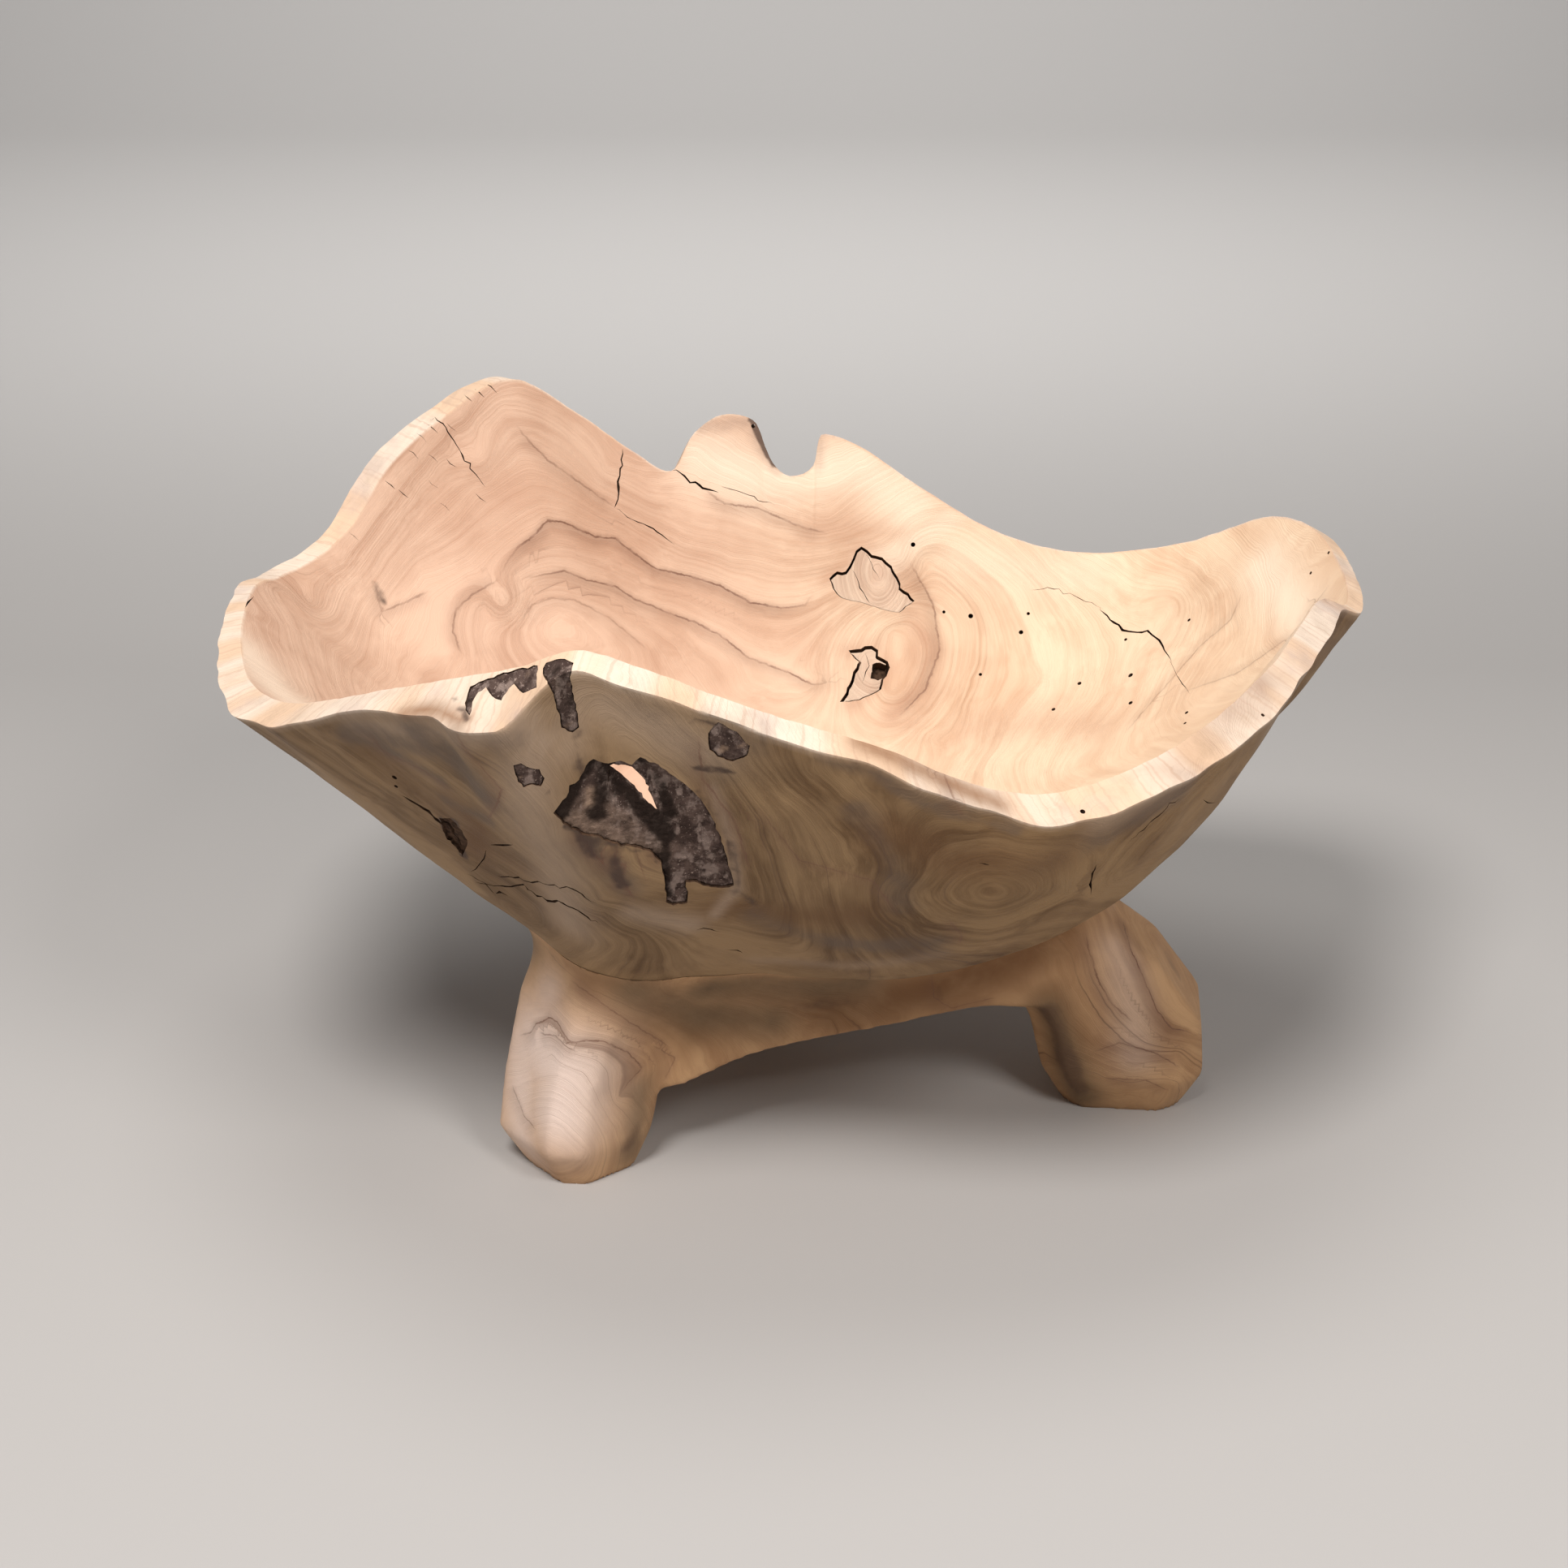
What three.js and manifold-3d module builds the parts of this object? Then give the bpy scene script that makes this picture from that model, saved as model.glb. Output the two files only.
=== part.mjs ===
// Teak root bowl: a hand-carved basin scribed onto a three-legged root stand.
// Millimetres, +Z up, +X along the length, the front towards -Y.
import * as THREE from 'three';
import { mergeVertices } from 'three/addons/utils/BufferGeometryUtils.js';
import Module from 'manifold-3d';

const wasm = await Module();
wasm.setup();
const RAD = Math.PI / 180;

// Heights of the basin and its floor
const BASIN_LIFT = 78;
const FLOOR_THICKNESS = 34;

// Shape of the basin's wall, as shares of its reach
const INNER_FLOOR_REACH = 0.5;
const OUTER_FLOOR_REACH = 0.58;
const WALL_STRAIGHT = 0.6;
const PULL_START = 0.4;
const SMOOTHING_ANGLE = 13;

// Mesh steps of the basin
const COLUMN_PITCH = 12;
const WALL_ROWS = 9;
const SEARCH_STEPS = 30;

// Rim, anticlockwise from the right tip: x, y, height over the underside,
// lean of the wall from level in degrees, width of the chiselled band and
// its fall outwards in degrees.
const RIM = [
  [254, 4, 158, 58, 5, 30],
  [259, 38, 163, 60, 8, 30],
  [251, 86, 171, 61, 10, 30],
  [236, 113, 167, 62, 10, 30],
  [201, 143, 145, 64, 10, 30],
  [149, 162, 134, 67, 10, 30],
  [109, 172, 142, 70, 10, 30],
  [70, 181, 163, 72, 11, 30],
  [39, 187, 183, 74, 11, 30],
  [21, 190, 188, 75, 9, 30],
  [13, 187, 176, 75, 8, 30],
  [9, 184, 166, 75, 8, 30],
  [2, 184, 163, 75, 9, 30],
  [-6, 188, 171, 75, 10, 30],
  [-14, 193, 187, 75, 10, 30],
  [-30, 196, 196, 75, 12, 30],
  [-46, 194, 188, 75, 12, 30],
  [-58, 187, 170, 75, 10, 30],
  [-78, 186, 181, 74, 10, 25],
  [-105, 181, 202, 71, 12, 15],
  [-138, 170, 222, 66, 12, 5],
  [-170, 157, 206, 62, 12, -5],
  [-196, 145, 185, 58, 12, -8],
  [-213, 127, 160, 52, 11, -8],
  [-227, 110, 149, 47, 10, -5],
  [-242, 82, 147, 43, 10, 0],
  [-248, 52, 152, 40, 9, 5],
  [-246, 10, 152, 38, 8, 10],
  [-239, -35, 150, 38, 10, 15],
  [-226, -78, 149, 40, 14, 20],
  [-205, -111, 153, 45, 15, 25],
  [-155, -160, 177, 56, 12, 32],
  [-127, -178, 188, 60, 20, 42],
  [-100, -190, 197, 63, 22, 50],
  [-78, -197, 206, 66, 6, 36],
  [-57, -197, 200, 68, 10, 30],
  [-8, -197, 181, 68, 12, 30],
  [36, -194, 166, 68, 12, 30],
  [75, -187, 147, 67, 13, 30],
  [106, -178, 140, 66, 14, 30],
  [154, -152, 148, 64, 11, 30],
  [202, -92, 160, 60, 10, 30],
  [226, -42, 165, 58, 13, 30],
  [240, -12, 166, 58, 13, 30],
];

// Swellings and hollows of the carved outside: azimuth and its spread in
// degrees, place from 0 underside to 1 rim and its spread, and the height.
const OUTSIDE_RELIEF = [
  { azimuth: -112, wide: 9, at: 0.8, tall: 0.3, height: 7 },
  { azimuth: -97, wide: 9, at: 0.72, tall: 0.25, height: -8 },
  { azimuth: -126, wide: 15, at: 0.42, tall: 0.13, height: 12 },
  { azimuth: -32, wide: 24, at: 0.8, tall: 0.28, height: 8 },
];

// Clearance between pieces that fit into each other
const FIT_GAP = 0.3;

// Edge of the stand's hub: x, y and its drop under the basin's underside
const HUB_EDGE = [
  [148, -6, 24],
  [118, 42, 20],
  [60, 74, 18],
  [5, 98, 22],
  [-38, 116, 28],
  [-68, 74, 22],
  [-88, 20, 20],
  [-104, -44, 34],
  [-88, -88, 44],
  [-52, -86, 42],
  [-13, -71, 32],
  [49, -60, 23],
  [95, -46, 20],
  [128, -40, 23],
];
const HUB_THICKNESS = 28;
const HUB_CEILING_SHARE = 0.55;
const HUB_CEILING_FALL = 0.2;
const HUB_FLARE = 1.04;
const HUB_RISE = 26;
const HUB_COLUMNS = 70;

// Heights of the legs' sections over the floor
const FOOT_SWELL = 18;
const ANKLE = 44;
const KNEE = BASIN_LIFT - 4;
const SHOULDER = BASIN_LIFT + 20;
const LEG_TOP = BASIN_LIFT + 42;
const LEG_CORNER_SHARE = 0.19;

// Legs: heading in degrees, then x, y, width and depth at each height
const LEGS = [
  {
    name: 'left',
    heading: -140,
    sections: [
      { z: 0, x: -92, y: -82, width: 44, depth: 42 },
      { z: FOOT_SWELL, x: -94, y: -80, width: 60, depth: 60 },
      { z: ANKLE, x: -90, y: -77, width: 60, depth: 62 },
      { z: KNEE, x: -80, y: -72, width: 64, depth: 70 },
      { z: SHOULDER, x: -68, y: -65, width: 74, depth: 82 },
      { z: LEG_TOP, x: -57, y: -56, width: 78, depth: 82 },
    ],
  },
  {
    name: 'right',
    heading: -6,
    sections: [
      { z: 0, x: 161, y: -12, width: 52, depth: 56 },
      { z: FOOT_SWELL, x: 161, y: -10, width: 70, depth: 76 },
      { z: ANKLE, x: 157, y: -9, width: 74, depth: 80 },
      { z: KNEE, x: 138, y: -8, width: 70, depth: 74 },
      { z: SHOULDER, x: 112, y: -7, width: 70, depth: 60 },
      { z: LEG_TOP, x: 97, y: -6, width: 70, depth: 54 },
    ],
  },
  {
    name: 'rear',
    heading: 106,
    sections: [
      { z: 0, x: -36, y: 112, width: 48, depth: 44 },
      { z: FOOT_SWELL, x: -38, y: 114, width: 62, depth: 58 },
      { z: ANKLE, x: -36, y: 110, width: 64, depth: 60 },
      { z: KNEE, x: -33, y: 97, width: 68, depth: 62 },
      { z: SHOULDER, x: -29, y: 80, width: 72, depth: 64 },
      { z: LEG_TOP, x: -24, y: 64, width: 72, depth: 64 },
    ],
  },
];

// Blind pegs between the basin and the stand, one over each leg
const PEG_DIAMETER = 14;
const PEG_IN_BASIN = FLOOR_THICKNESS / 2;
const PEG_IN_STAND = 17;
const PEG_SIDES = 24;
const PEG_PLACES = {
  peg_left: [-60, -50],
  peg_right: [96, -8],
  peg_rear: [-20, 58],
};

// Outlines of the knots and bark, right and up as seen from their own side
const KNOT_UPPER_OUTLINE = [
  [-21, 0], [-17.5, 3], [-12.5, 1.5], [-9, 4], [-7, 9], [-4, 15.5], [3, 11], [8, 10],
  [14.5, 0], [19, -7.5], [21.5, -12.5], [9.5, -16.5], [-5, -16], [-14.5, -12.5], [-17.5, -6.5],
];
const KNOT_LOWER_OUTLINE = [
  [-8, 15], [-3, 17], [2, 17.5], [5, 15], [5.5, 9], [10.5, 8], [10, 1],
  [7, -7], [-3, -14], [-10, -17], [-8, -9], [-6, 1], [-5.5, 9],
];
const RIM_BARK_OUTLINE = [
  [-6.5, 13], [4, 13], [3, 8], [4, 2.5], [5.5, -6], [6, -11.5],
  [4, -13.5], [-0.5, -11.5], [-1.5, -6], [-3.5, 1.5], [-8, 9.5],
];
const HOOK_BARK_OUTLINE = [
  [12.5, 9.5], [12.5, 1], [7.5, -1.5], [4, 2.5], [-1, -4.5], [-4.5, -2.5], [-6.5, 1],
  [-10, -1.5], [-12.5, -7], [-13, -10.5], [-15, -9], [-14, -3.5], [-13, 1], [-8, 4],
];
const SMALL_BARK_OUTLINE = [
  [-6, 4], [-3, 5], [0.5, 2.5], [4, 2.5], [6, -1], [5, -4.5], [2, -3.5], [-1.5, -4.5], [-4, -2],
];
const OVAL_BARK_OUTLINE = [
  [-7.5, 3], [-4, 7.5], [3.5, 4], [8.5, -1.5], [8, -5.5], [2, -8], [-3.5, -5.5], [-7, -3],
];

// Depths to which the knots and the bark reach into the wall
const KNOT_DEPTH = 9;
const BARK_DEPTH = 4;
const RIM_BARK_DEPTH = 7;
const INLAY_PROUD = 12;

// Rotted pit beside the lower knot
const PIT_OUTLINE = [[6.5, 6], [10, 5.5], [12, 1], [10.5, -4.5], [7.5, -5], [5.5, 0]];
const PIT_DEPTH = 7;

// Where the wall frames of the features sit: azimuth in degrees, place on the wall
const FEATURES = {
  knot_upper: { side: 'inner', azimuth: 74.5, place: 0.775 },
  knot_lower: { side: 'inner', azimuth: 72, place: 0.575 },
  bark_rim: { side: 'outer', azimuth: -113.4, place: 0.97 },
  bark_hook: { side: 'band', azimuth: -120.2, place: 0.6 },
  bark_small: { side: 'outer', azimuth: -118.4, place: 0.9 },
  bark_oval: { side: 'outer', azimuth: -96, place: 0.965 },
  bark_lining: { side: 'outer', azimuth: -108, place: 0.77 },
};

// Bark-lined hollow in the front and the void that runs down through the wall
const HOLLOW_WIDTH = 68;
const HOLLOW_TALL = 88;
const HOLLOW_DEPTH = 9;
const LINING_THICKNESS = 3.5;
const HOLLOW_SIDES = 28;
const VOID_OUTLINE = [[-10, 7], [-1.3, 7], [2.5, 3], [5.7, -3], [9.4, -10.4], [4, -6.3], [-2.2, 1]];
const VOID_HEIGHT_SHARE = 0.33;
const VOID_PLACE = [0, VOID_HEIGHT_SHARE * HOLLOW_TALL];
const VOID_FALL = 22;
const VOID_REACH = 60;

function solidOf(geometry) {
  const bare = geometry.clone();
  bare.deleteAttribute('normal');
  bare.deleteAttribute('uv');
  const merged = mergeVertices(bare, 1e-4);
  return new wasm.Manifold(new wasm.Mesh({
    numProp: 3,
    vertProperties: new Float32Array(merged.attributes.position.array),
    triVerts: new Uint32Array(merged.index.array),
  }));
}

function geometryOf(solid) {
  const mesh = solid.getMesh();
  const geometry = new THREE.BufferGeometry();
  const positions = new Float32Array(mesh.vertProperties);
  geometry.setAttribute('position', new THREE.BufferAttribute(positions, 3));
  geometry.setIndex(new THREE.BufferAttribute(new Uint32Array(mesh.triVerts), 1));
  return geometry;
}

// A closed skin through rings of points from the lowest pole to the highest
function ringSkin(lowPole, rings, highPole) {
  const count = rings[0].length;
  const points = [lowPole, ...rings.flat(), highPole];
  const last = points.length - 1;
  const top = 1 + (rings.length - 1) * count;
  const index = [];
  for (let j = 0; j < count; j += 1) {
    const next = (j + 1) % count;
    index.push(0, 1 + next, 1 + j);
    index.push(last, top + j, top + next);
    for (let i = 0; i < rings.length - 1; i += 1) {
      const low = 1 + i * count;
      const high = low + count;
      index.push(low + j, low + next, high + next);
      index.push(low + j, high + next, high + j);
    }
  }
  const geometry = new THREE.BufferGeometry();
  const positions = points.flatMap((p) => p.toArray());
  geometry.setAttribute('position', new THREE.Float32BufferAttribute(positions, 3));
  geometry.setIndex(index);
  return geometry;
}

function angleBetween(a, b) {
  return Math.abs(((a - b + 540) % 360) - 180);
}

// Columns round the rim, closer together where it turns tightly
const WALL_KEYS = ['radius', 'height', 'lean', 'band', 'fall'];

function rimColumns() {
  const curve = new THREE.CatmullRomCurve3(
    RIM.map(([x, y, height]) => new THREE.Vector3(x, y, BASIN_LIFT + height)), true, 'centripetal');
  const shape = new THREE.CatmullRomCurve3(
    RIM.map(([, , , lean, band, fall]) => new THREE.Vector3(lean, band, fall)), true, 'catmullrom');
  const found = [];
  for (let i = 0; i < RIM.length; i += 1) {
    const next = curve.points[(i + 1) % RIM.length];
    const steps = Math.max(1, Math.round(curve.points[i].distanceTo(next) / COLUMN_PITCH));
    for (let k = 0; k < steps; k += 1) {
      const t = (i + k / steps) / RIM.length;
      const arris = curve.getPoint(t);
      const { x: lean, y: band, z: fall } = shape.getPoint(t);
      const azimuth = (Math.atan2(arris.y, arris.x) / RAD + 360) % 360;
      found.push({ azimuth, radius: Math.hypot(arris.x, arris.y), height: arris.z, lean, band, fall });
    }
  }
  return found;
}

// Each column's neighbourhood average, so that notches don't groove the wall below
function addSmoothWall(found) {
  const count = found.length;
  const spans = found.map((_, i) => angleBetween(
    found[(i + 1) % count].azimuth, found[(i + count - 1) % count].azimuth));
  for (const column of found) {
    const weights = found.map((other, i) => spans[i]
      * Math.exp(-((angleBetween(column.azimuth, other.azimuth) / SMOOTHING_ANGLE) ** 2)));
    const total = weights.reduce((sum, weight) => sum + weight, 0);
    column.smooth = {};
    for (const key of WALL_KEYS) {
      column.smooth[key] = found.reduce((sum, other, i) => sum + weights[i] * other[key], 0) / total;
    }
  }
  return found;
}

const columns = addSmoothWall(rimColumns());

// A column between two others, for features that sit anywhere on the wall
function columnAt(degrees) {
  const azimuth = (degrees + 360) % 360;
  const count = columns.length;
  let i = columns.findIndex((column) => column.azimuth > azimuth) - 1;
  if (i < 0) {
    i = count - 1;
  }
  const before = columns[i];
  const after = columns[(i + 1) % count];
  const share = angleBetween(azimuth, before.azimuth) / angleBetween(after.azimuth, before.azimuth);
  const column = { azimuth, smooth: {} };
  for (const key of WALL_KEYS) {
    column[key] = THREE.MathUtils.lerp(before[key], after[key], share);
    column.smooth[key] = THREE.MathUtils.lerp(before.smooth[key], after.smooth[key], share);
  }
  return column;
}

function outsideRelief(azimuth, place) {
  let height = 0;
  for (const swell of OUTSIDE_RELIEF) {
    const across = angleBetween(azimuth, swell.azimuth) / swell.wide;
    const along = (place - swell.at) / swell.tall;
    height += swell.height * Math.exp(-across * across - along * along);
  }
  return height;
}

// A meridian of the wall from the floor's centre to the rim, as radius and height
function wallCurve(floorHeight, floorReach, radius, height, lean) {
  const straight = WALL_STRAIGHT * (height - floorHeight);
  return new THREE.CubicBezierCurve(
    new THREE.Vector2(0, floorHeight),
    new THREE.Vector2(floorReach * radius, floorHeight),
    new THREE.Vector2(radius - straight / Math.tan(lean * RAD), height - straight),
    new THREE.Vector2(radius, height));
}

function bandEdge({ radius, height, band, fall }, part) {
  return new THREE.Vector2(
    radius + part * band * Math.cos(fall * RAD),
    height - part * band * Math.sin(fall * RAD));
}

function placeAtHeight(curve, height) {
  let low = 0;
  let high = 1;
  for (let i = 0; i < SEARCH_STEPS; i += 1) {
    const middle = (low + high) / 2;
    if (curve.getPoint(middle).y < height) {
      low = middle;
    } else {
      high = middle;
    }
  }
  return high;
}

function onMeridian({ azimuth }, { x: radius, y: height }) {
  return new THREE.Vector3(radius * Math.cos(azimuth * RAD), radius * Math.sin(azimuth * RAD), height);
}

// The two sides of the wall: floor height, reach of the floor, share of the band
const SIDES = {
  inner: { floor: BASIN_LIFT + FLOOR_THICKNESS, reach: INNER_FLOOR_REACH, band: 0, relief: () => 0 },
  outer: { floor: BASIN_LIFT, reach: OUTER_FLOOR_REACH, band: 1, relief: outsideRelief },
};

// Points up one column: the smoothed wall, drawn to the true rim near its top
function wallPoints(column, side, places, grow = 0) {
  const { floor, reach, band, relief } = SIDES[side];
  const top = bandEdge(column, band);
  const smoothTop = bandEdge(column.smooth, band);
  const curve = wallCurve(floor, reach, smoothTop.x, smoothTop.y, column.smooth.lean);
  const trim = top.y < smoothTop.y ? placeAtHeight(curve, top.y) : 1;
  const pulled = top.clone().sub(curve.getPoint(trim));
  return places.map((place) => {
    const pull = THREE.MathUtils.smoothstep(place, PULL_START, 1);
    const along = place - (1 - trim) * pull;
    const flat = curve.getPoint(along).addScaledVector(pulled, pull);
    const slope = curve.getTangent(along);
    const out = relief(column.azimuth, place) + grow;
    return onMeridian(column, new THREE.Vector2(flat.x + slope.y * out, flat.y - slope.x * out));
  });
}

function wallRings(side, grow = 0) {
  const places = Array.from({ length: WALL_ROWS }, (_, i) => (i + 1) / WALL_ROWS);
  const byColumn = columns.map((column) => wallPoints(column, side, places, grow));
  return places.map((_, i) => byColumn.map((points) => points[i]));
}

const outerPole = new THREE.Vector3(0, 0, BASIN_LIFT);
const innerPole = new THREE.Vector3(0, 0, BASIN_LIFT + FLOOR_THICKNESS);
const basinBlank = solidOf(ringSkin(
  outerPole, [...wallRings('outer'), ...wallRings('inner').reverse()], innerPole));

// The basin's outside grown by the fit gap and filled, for scribing the stand
const scribingBlock = solidOf(ringSkin(
  new THREE.Vector3(0, 0, BASIN_LIFT - FIT_GAP), wallRings('outer', FIT_GAP),
  new THREE.Vector3(0, 0, BASIN_LIFT + RIM[0][2])));

// Points across the band, from its outer edge at 0 to the rim's arris at 1
function bandPoints(column, places) {
  return places.map((place) => onMeridian(column, bandEdge(column, 1 - place)));
}

function surfacePoints(column, side, places) {
  return side === 'band' ? bandPoints(column, places) : wallPoints(column, side, places);
}

// A frame on the wall: X to the right, Y up and Z out of the wood
const FRAME_STEP = 0.02;
const FRAME_TURN = 1;

function wallFrame({ side, azimuth, place }) {
  const [low, here, high] = surfacePoints(
    columnAt(azimuth), side, [place - FRAME_STEP, place, place + FRAME_STEP]);
  const [before] = surfacePoints(columnAt(azimuth - FRAME_TURN), side, [place]);
  const [after] = surfacePoints(columnAt(azimuth + FRAME_TURN), side, [place]);
  const up = high.sub(low).normalize();
  const right = after.sub(before).normalize();
  const out = new THREE.Vector3().crossVectors(right, up).normalize();
  if (side === 'inner') {
    out.negate();
  }
  right.crossVectors(up, out).normalize();
  return new THREE.Matrix4().makeBasis(right, up, out).setPosition(here);
}

// An outline moved outwards by a distance, corner by corner
const SHARPEST_CORNER = 0.5;

function grownOutline(outline, distance) {
  const count = outline.length;
  const turn = Math.sign(THREE.ShapeUtils.area(outline.map(([x, y]) => ({ x, y }))));
  return outline.map(([x, y], i) => {
    const [px, py] = outline[(i + count - 1) % count];
    const [nx, ny] = outline[(i + 1) % count];
    const before = new THREE.Vector2(y - py, px - x).normalize();
    const after = new THREE.Vector2(ny - y, x - nx).normalize();
    const bisector = before.add(after).normalize();
    const stretch = distance * turn / Math.max(SHARPEST_CORNER, bisector.dot(after));
    return [x + bisector.x * stretch, y + bisector.y * stretch];
  });
}

function prism(outline, depth, height) {
  const shape = new THREE.Shape(outline.map(([x, y]) => new THREE.Vector2(x, y)));
  const geometry = new THREE.ExtrudeGeometry(shape, { depth: depth + height, bevelEnabled: false });
  return geometry.translate(0, 0, -depth);
}

// A piece set flush into the wall, and the pocket that holds it
function inlay(outline, depth, feature) {
  const frame = wallFrame(feature);
  const plug = solidOf(prism(outline, depth, INLAY_PROUD).applyMatrix4(frame));
  const pocket = solidOf(
    prism(grownOutline(outline, FIT_GAP), depth + FIT_GAP, INLAY_PROUD).applyMatrix4(frame));
  return { piece: plug.intersect(basinBlank), pocket };
}

function hollowBall(shrink) {
  return new THREE.SphereGeometry(1, HOLLOW_SIDES, HOLLOW_SIDES / 2).scale(
    HOLLOW_WIDTH / 2 - shrink, HOLLOW_TALL / 2 - shrink, HOLLOW_DEPTH - shrink);
}

function legSolid({ heading, sections }) {
  const radial = new THREE.Vector3(Math.cos(heading * RAD), Math.sin(heading * RAD), 0);
  const across = new THREE.Vector3(-radial.y, radial.x, 0);
  const rings = sections.map(({ x, y, z, width, depth }) => {
    const cut = LEG_CORNER_SHARE * width;
    const a = depth / 2;
    const b = width / 2;
    const corners = [
      [a, b - cut], [a - cut, b], [cut - a, b], [-a, b - cut],
      [-a, cut - b], [cut - a, -b], [a - cut, -b], [a, cut - b],
    ];
    return corners.map(([out, side]) => new THREE.Vector3(x, y, z)
      .addScaledVector(radial, out).addScaledVector(across, side));
  });
  const [low] = sections;
  const high = sections[sections.length - 1];
  return solidOf(ringSkin(
    new THREE.Vector3(low.x, low.y, low.z), rings, new THREE.Vector3(high.x, high.y, high.z)));
}

function hubSolid() {
  const edge = new THREE.CatmullRomCurve3(
    HUB_EDGE.map(([x, y, drop]) => new THREE.Vector3(x, y, BASIN_LIFT - drop)), true, 'centripetal');
  const ring = Array.from({ length: HUB_COLUMNS }, (_, j) => edge.getPoint(j / HUB_COLUMNS));
  const centreHeight = BASIN_LIFT - HUB_THICKNESS;
  const topHeight = BASIN_LIFT + HUB_RISE;
  const ceiling = ring.map((p) => new THREE.Vector3(
    p.x * HUB_CEILING_SHARE, p.y * HUB_CEILING_SHARE,
    THREE.MathUtils.lerp(centreHeight, p.z, HUB_CEILING_FALL)));
  const top = ring.map((p) => new THREE.Vector3(p.x * HUB_FLARE, p.y * HUB_FLARE, topHeight));
  return solidOf(ringSkin(
    new THREE.Vector3(0, 0, centreHeight), [ceiling, ring, top], new THREE.Vector3(0, 0, topHeight)));
}

// Height of the basin's outside over a point of the plan
function undersideHeight(x, y) {
  const column = columnAt(Math.atan2(y, x) / RAD);
  const reach = Math.hypot(x, y);
  let low = 0;
  let high = 1;
  for (let i = 0; i < SEARCH_STEPS; i += 1) {
    const middle = (low + high) / 2;
    const [point] = wallPoints(column, 'outer', [middle]);
    if (Math.hypot(point.x, point.y) < reach) {
      low = middle;
    } else {
      high = middle;
    }
  }
  return wallPoints(column, 'outer', [low])[0].z;
}

function pegCylinder(x, y, gap) {
  const seat = undersideHeight(x, y);
  const length = PEG_IN_BASIN + PEG_IN_STAND + 2 * gap;
  return new THREE.CylinderGeometry(PEG_DIAMETER / 2 + gap, PEG_DIAMETER / 2 + gap, length, PEG_SIDES)
    .rotateX(Math.PI / 2)
    .translate(x, y, seat + (PEG_IN_BASIN - PEG_IN_STAND) / 2);
}

let basin = basinBlank;
let stand = LEGS.reduce((joined, leg) => joined.add(legSolid(leg)), hubSolid()).subtract(scribingBlock);
const pieces = [];

// Knots and bark set into the wall
const inlays = {
  knot_upper: [KNOT_UPPER_OUTLINE, KNOT_DEPTH],
  knot_lower: [KNOT_LOWER_OUTLINE, KNOT_DEPTH],
  bark_rim: [RIM_BARK_OUTLINE, RIM_BARK_DEPTH],
  bark_hook: [HOOK_BARK_OUTLINE, BARK_DEPTH],
  bark_small: [SMALL_BARK_OUTLINE, BARK_DEPTH],
  bark_oval: [OVAL_BARK_OUTLINE, BARK_DEPTH],
};
for (const [name, [outline, depth]] of Object.entries(inlays)) {
  const { piece, pocket } = inlay(outline, depth, FEATURES[name]);
  basin = basin.subtract(pocket);
  pieces.push({ name, solid: piece });
}
const pit = prism(PIT_OUTLINE, PIT_DEPTH, INLAY_PROUD).applyMatrix4(wallFrame(FEATURES.knot_lower));
basin = basin.subtract(solidOf(pit));

// The bark lining of the hollow, pierced with the wall by the void
const hollowFrame = wallFrame(FEATURES.bark_lining);
const hollow = solidOf(hollowBall(0).applyMatrix4(hollowFrame));
const liningOutside = solidOf(hollowBall(FIT_GAP).applyMatrix4(hollowFrame));
const liningInside = solidOf(hollowBall(FIT_GAP + LINING_THICKNESS).applyMatrix4(hollowFrame));
const voidMouth = new THREE.Vector3(VOID_PLACE[0], VOID_PLACE[1], 0).applyMatrix4(hollowFrame);
const voidCut = solidOf(prism(VOID_OUTLINE, VOID_REACH, VOID_REACH)
  .rotateX(Math.PI / 2 - VOID_FALL * RAD)
  .translate(voidMouth.x, voidMouth.y, voidMouth.z));
basin = basin.subtract(hollow).subtract(voidCut);
pieces.push({
  name: 'bark_lining',
  solid: liningOutside.intersect(basinBlank).subtract(liningInside).subtract(voidCut),
});

// Pegs and their blind holes
for (const [name, [x, y]] of Object.entries(PEG_PLACES)) {
  const hole = solidOf(pegCylinder(x, y, FIT_GAP));
  basin = basin.subtract(hole);
  stand = stand.subtract(hole);
  pieces.push({ name, solid: solidOf(pegCylinder(x, y, 0)) });
}

const FINISHES = {
  basin: { color: 0xdcb791, roughness: 0.62 },
  stand: { color: 0xc48f62, roughness: 0.62 },
  knot: { color: 0xe3c49c, roughness: 0.66 },
  bark: { color: 0x4a3f38, roughness: 0.92 },
  peg: { color: 0xb98a5a, roughness: 0.7 },
};

const bowl = new THREE.Group();
pieces.unshift({ name: 'basin', solid: basin }, { name: 'stand', solid: stand });
for (const { name, solid } of pieces) {
  const finish = FINISHES[name.split('_')[0]];
  const material = new THREE.MeshStandardMaterial({ ...finish, metalness: 0 });
  const mesh = new THREE.Mesh(geometryOf(solid), material);
  mesh.name = name;
  bowl.add(mesh);
}

// The origin is on the floor, under the middle of the whole bowl
const bounds = new THREE.Box3().setFromObject(bowl);
const middle = bounds.getCenter(new THREE.Vector3());
bowl.position.set(-middle.x, -middle.y, -bounds.min.z);

export default bowl;
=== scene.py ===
import math

import bmesh
import bpy
import numpy as np
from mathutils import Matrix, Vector, noise
from mathutils.bvhtree import BVHTree


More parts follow.
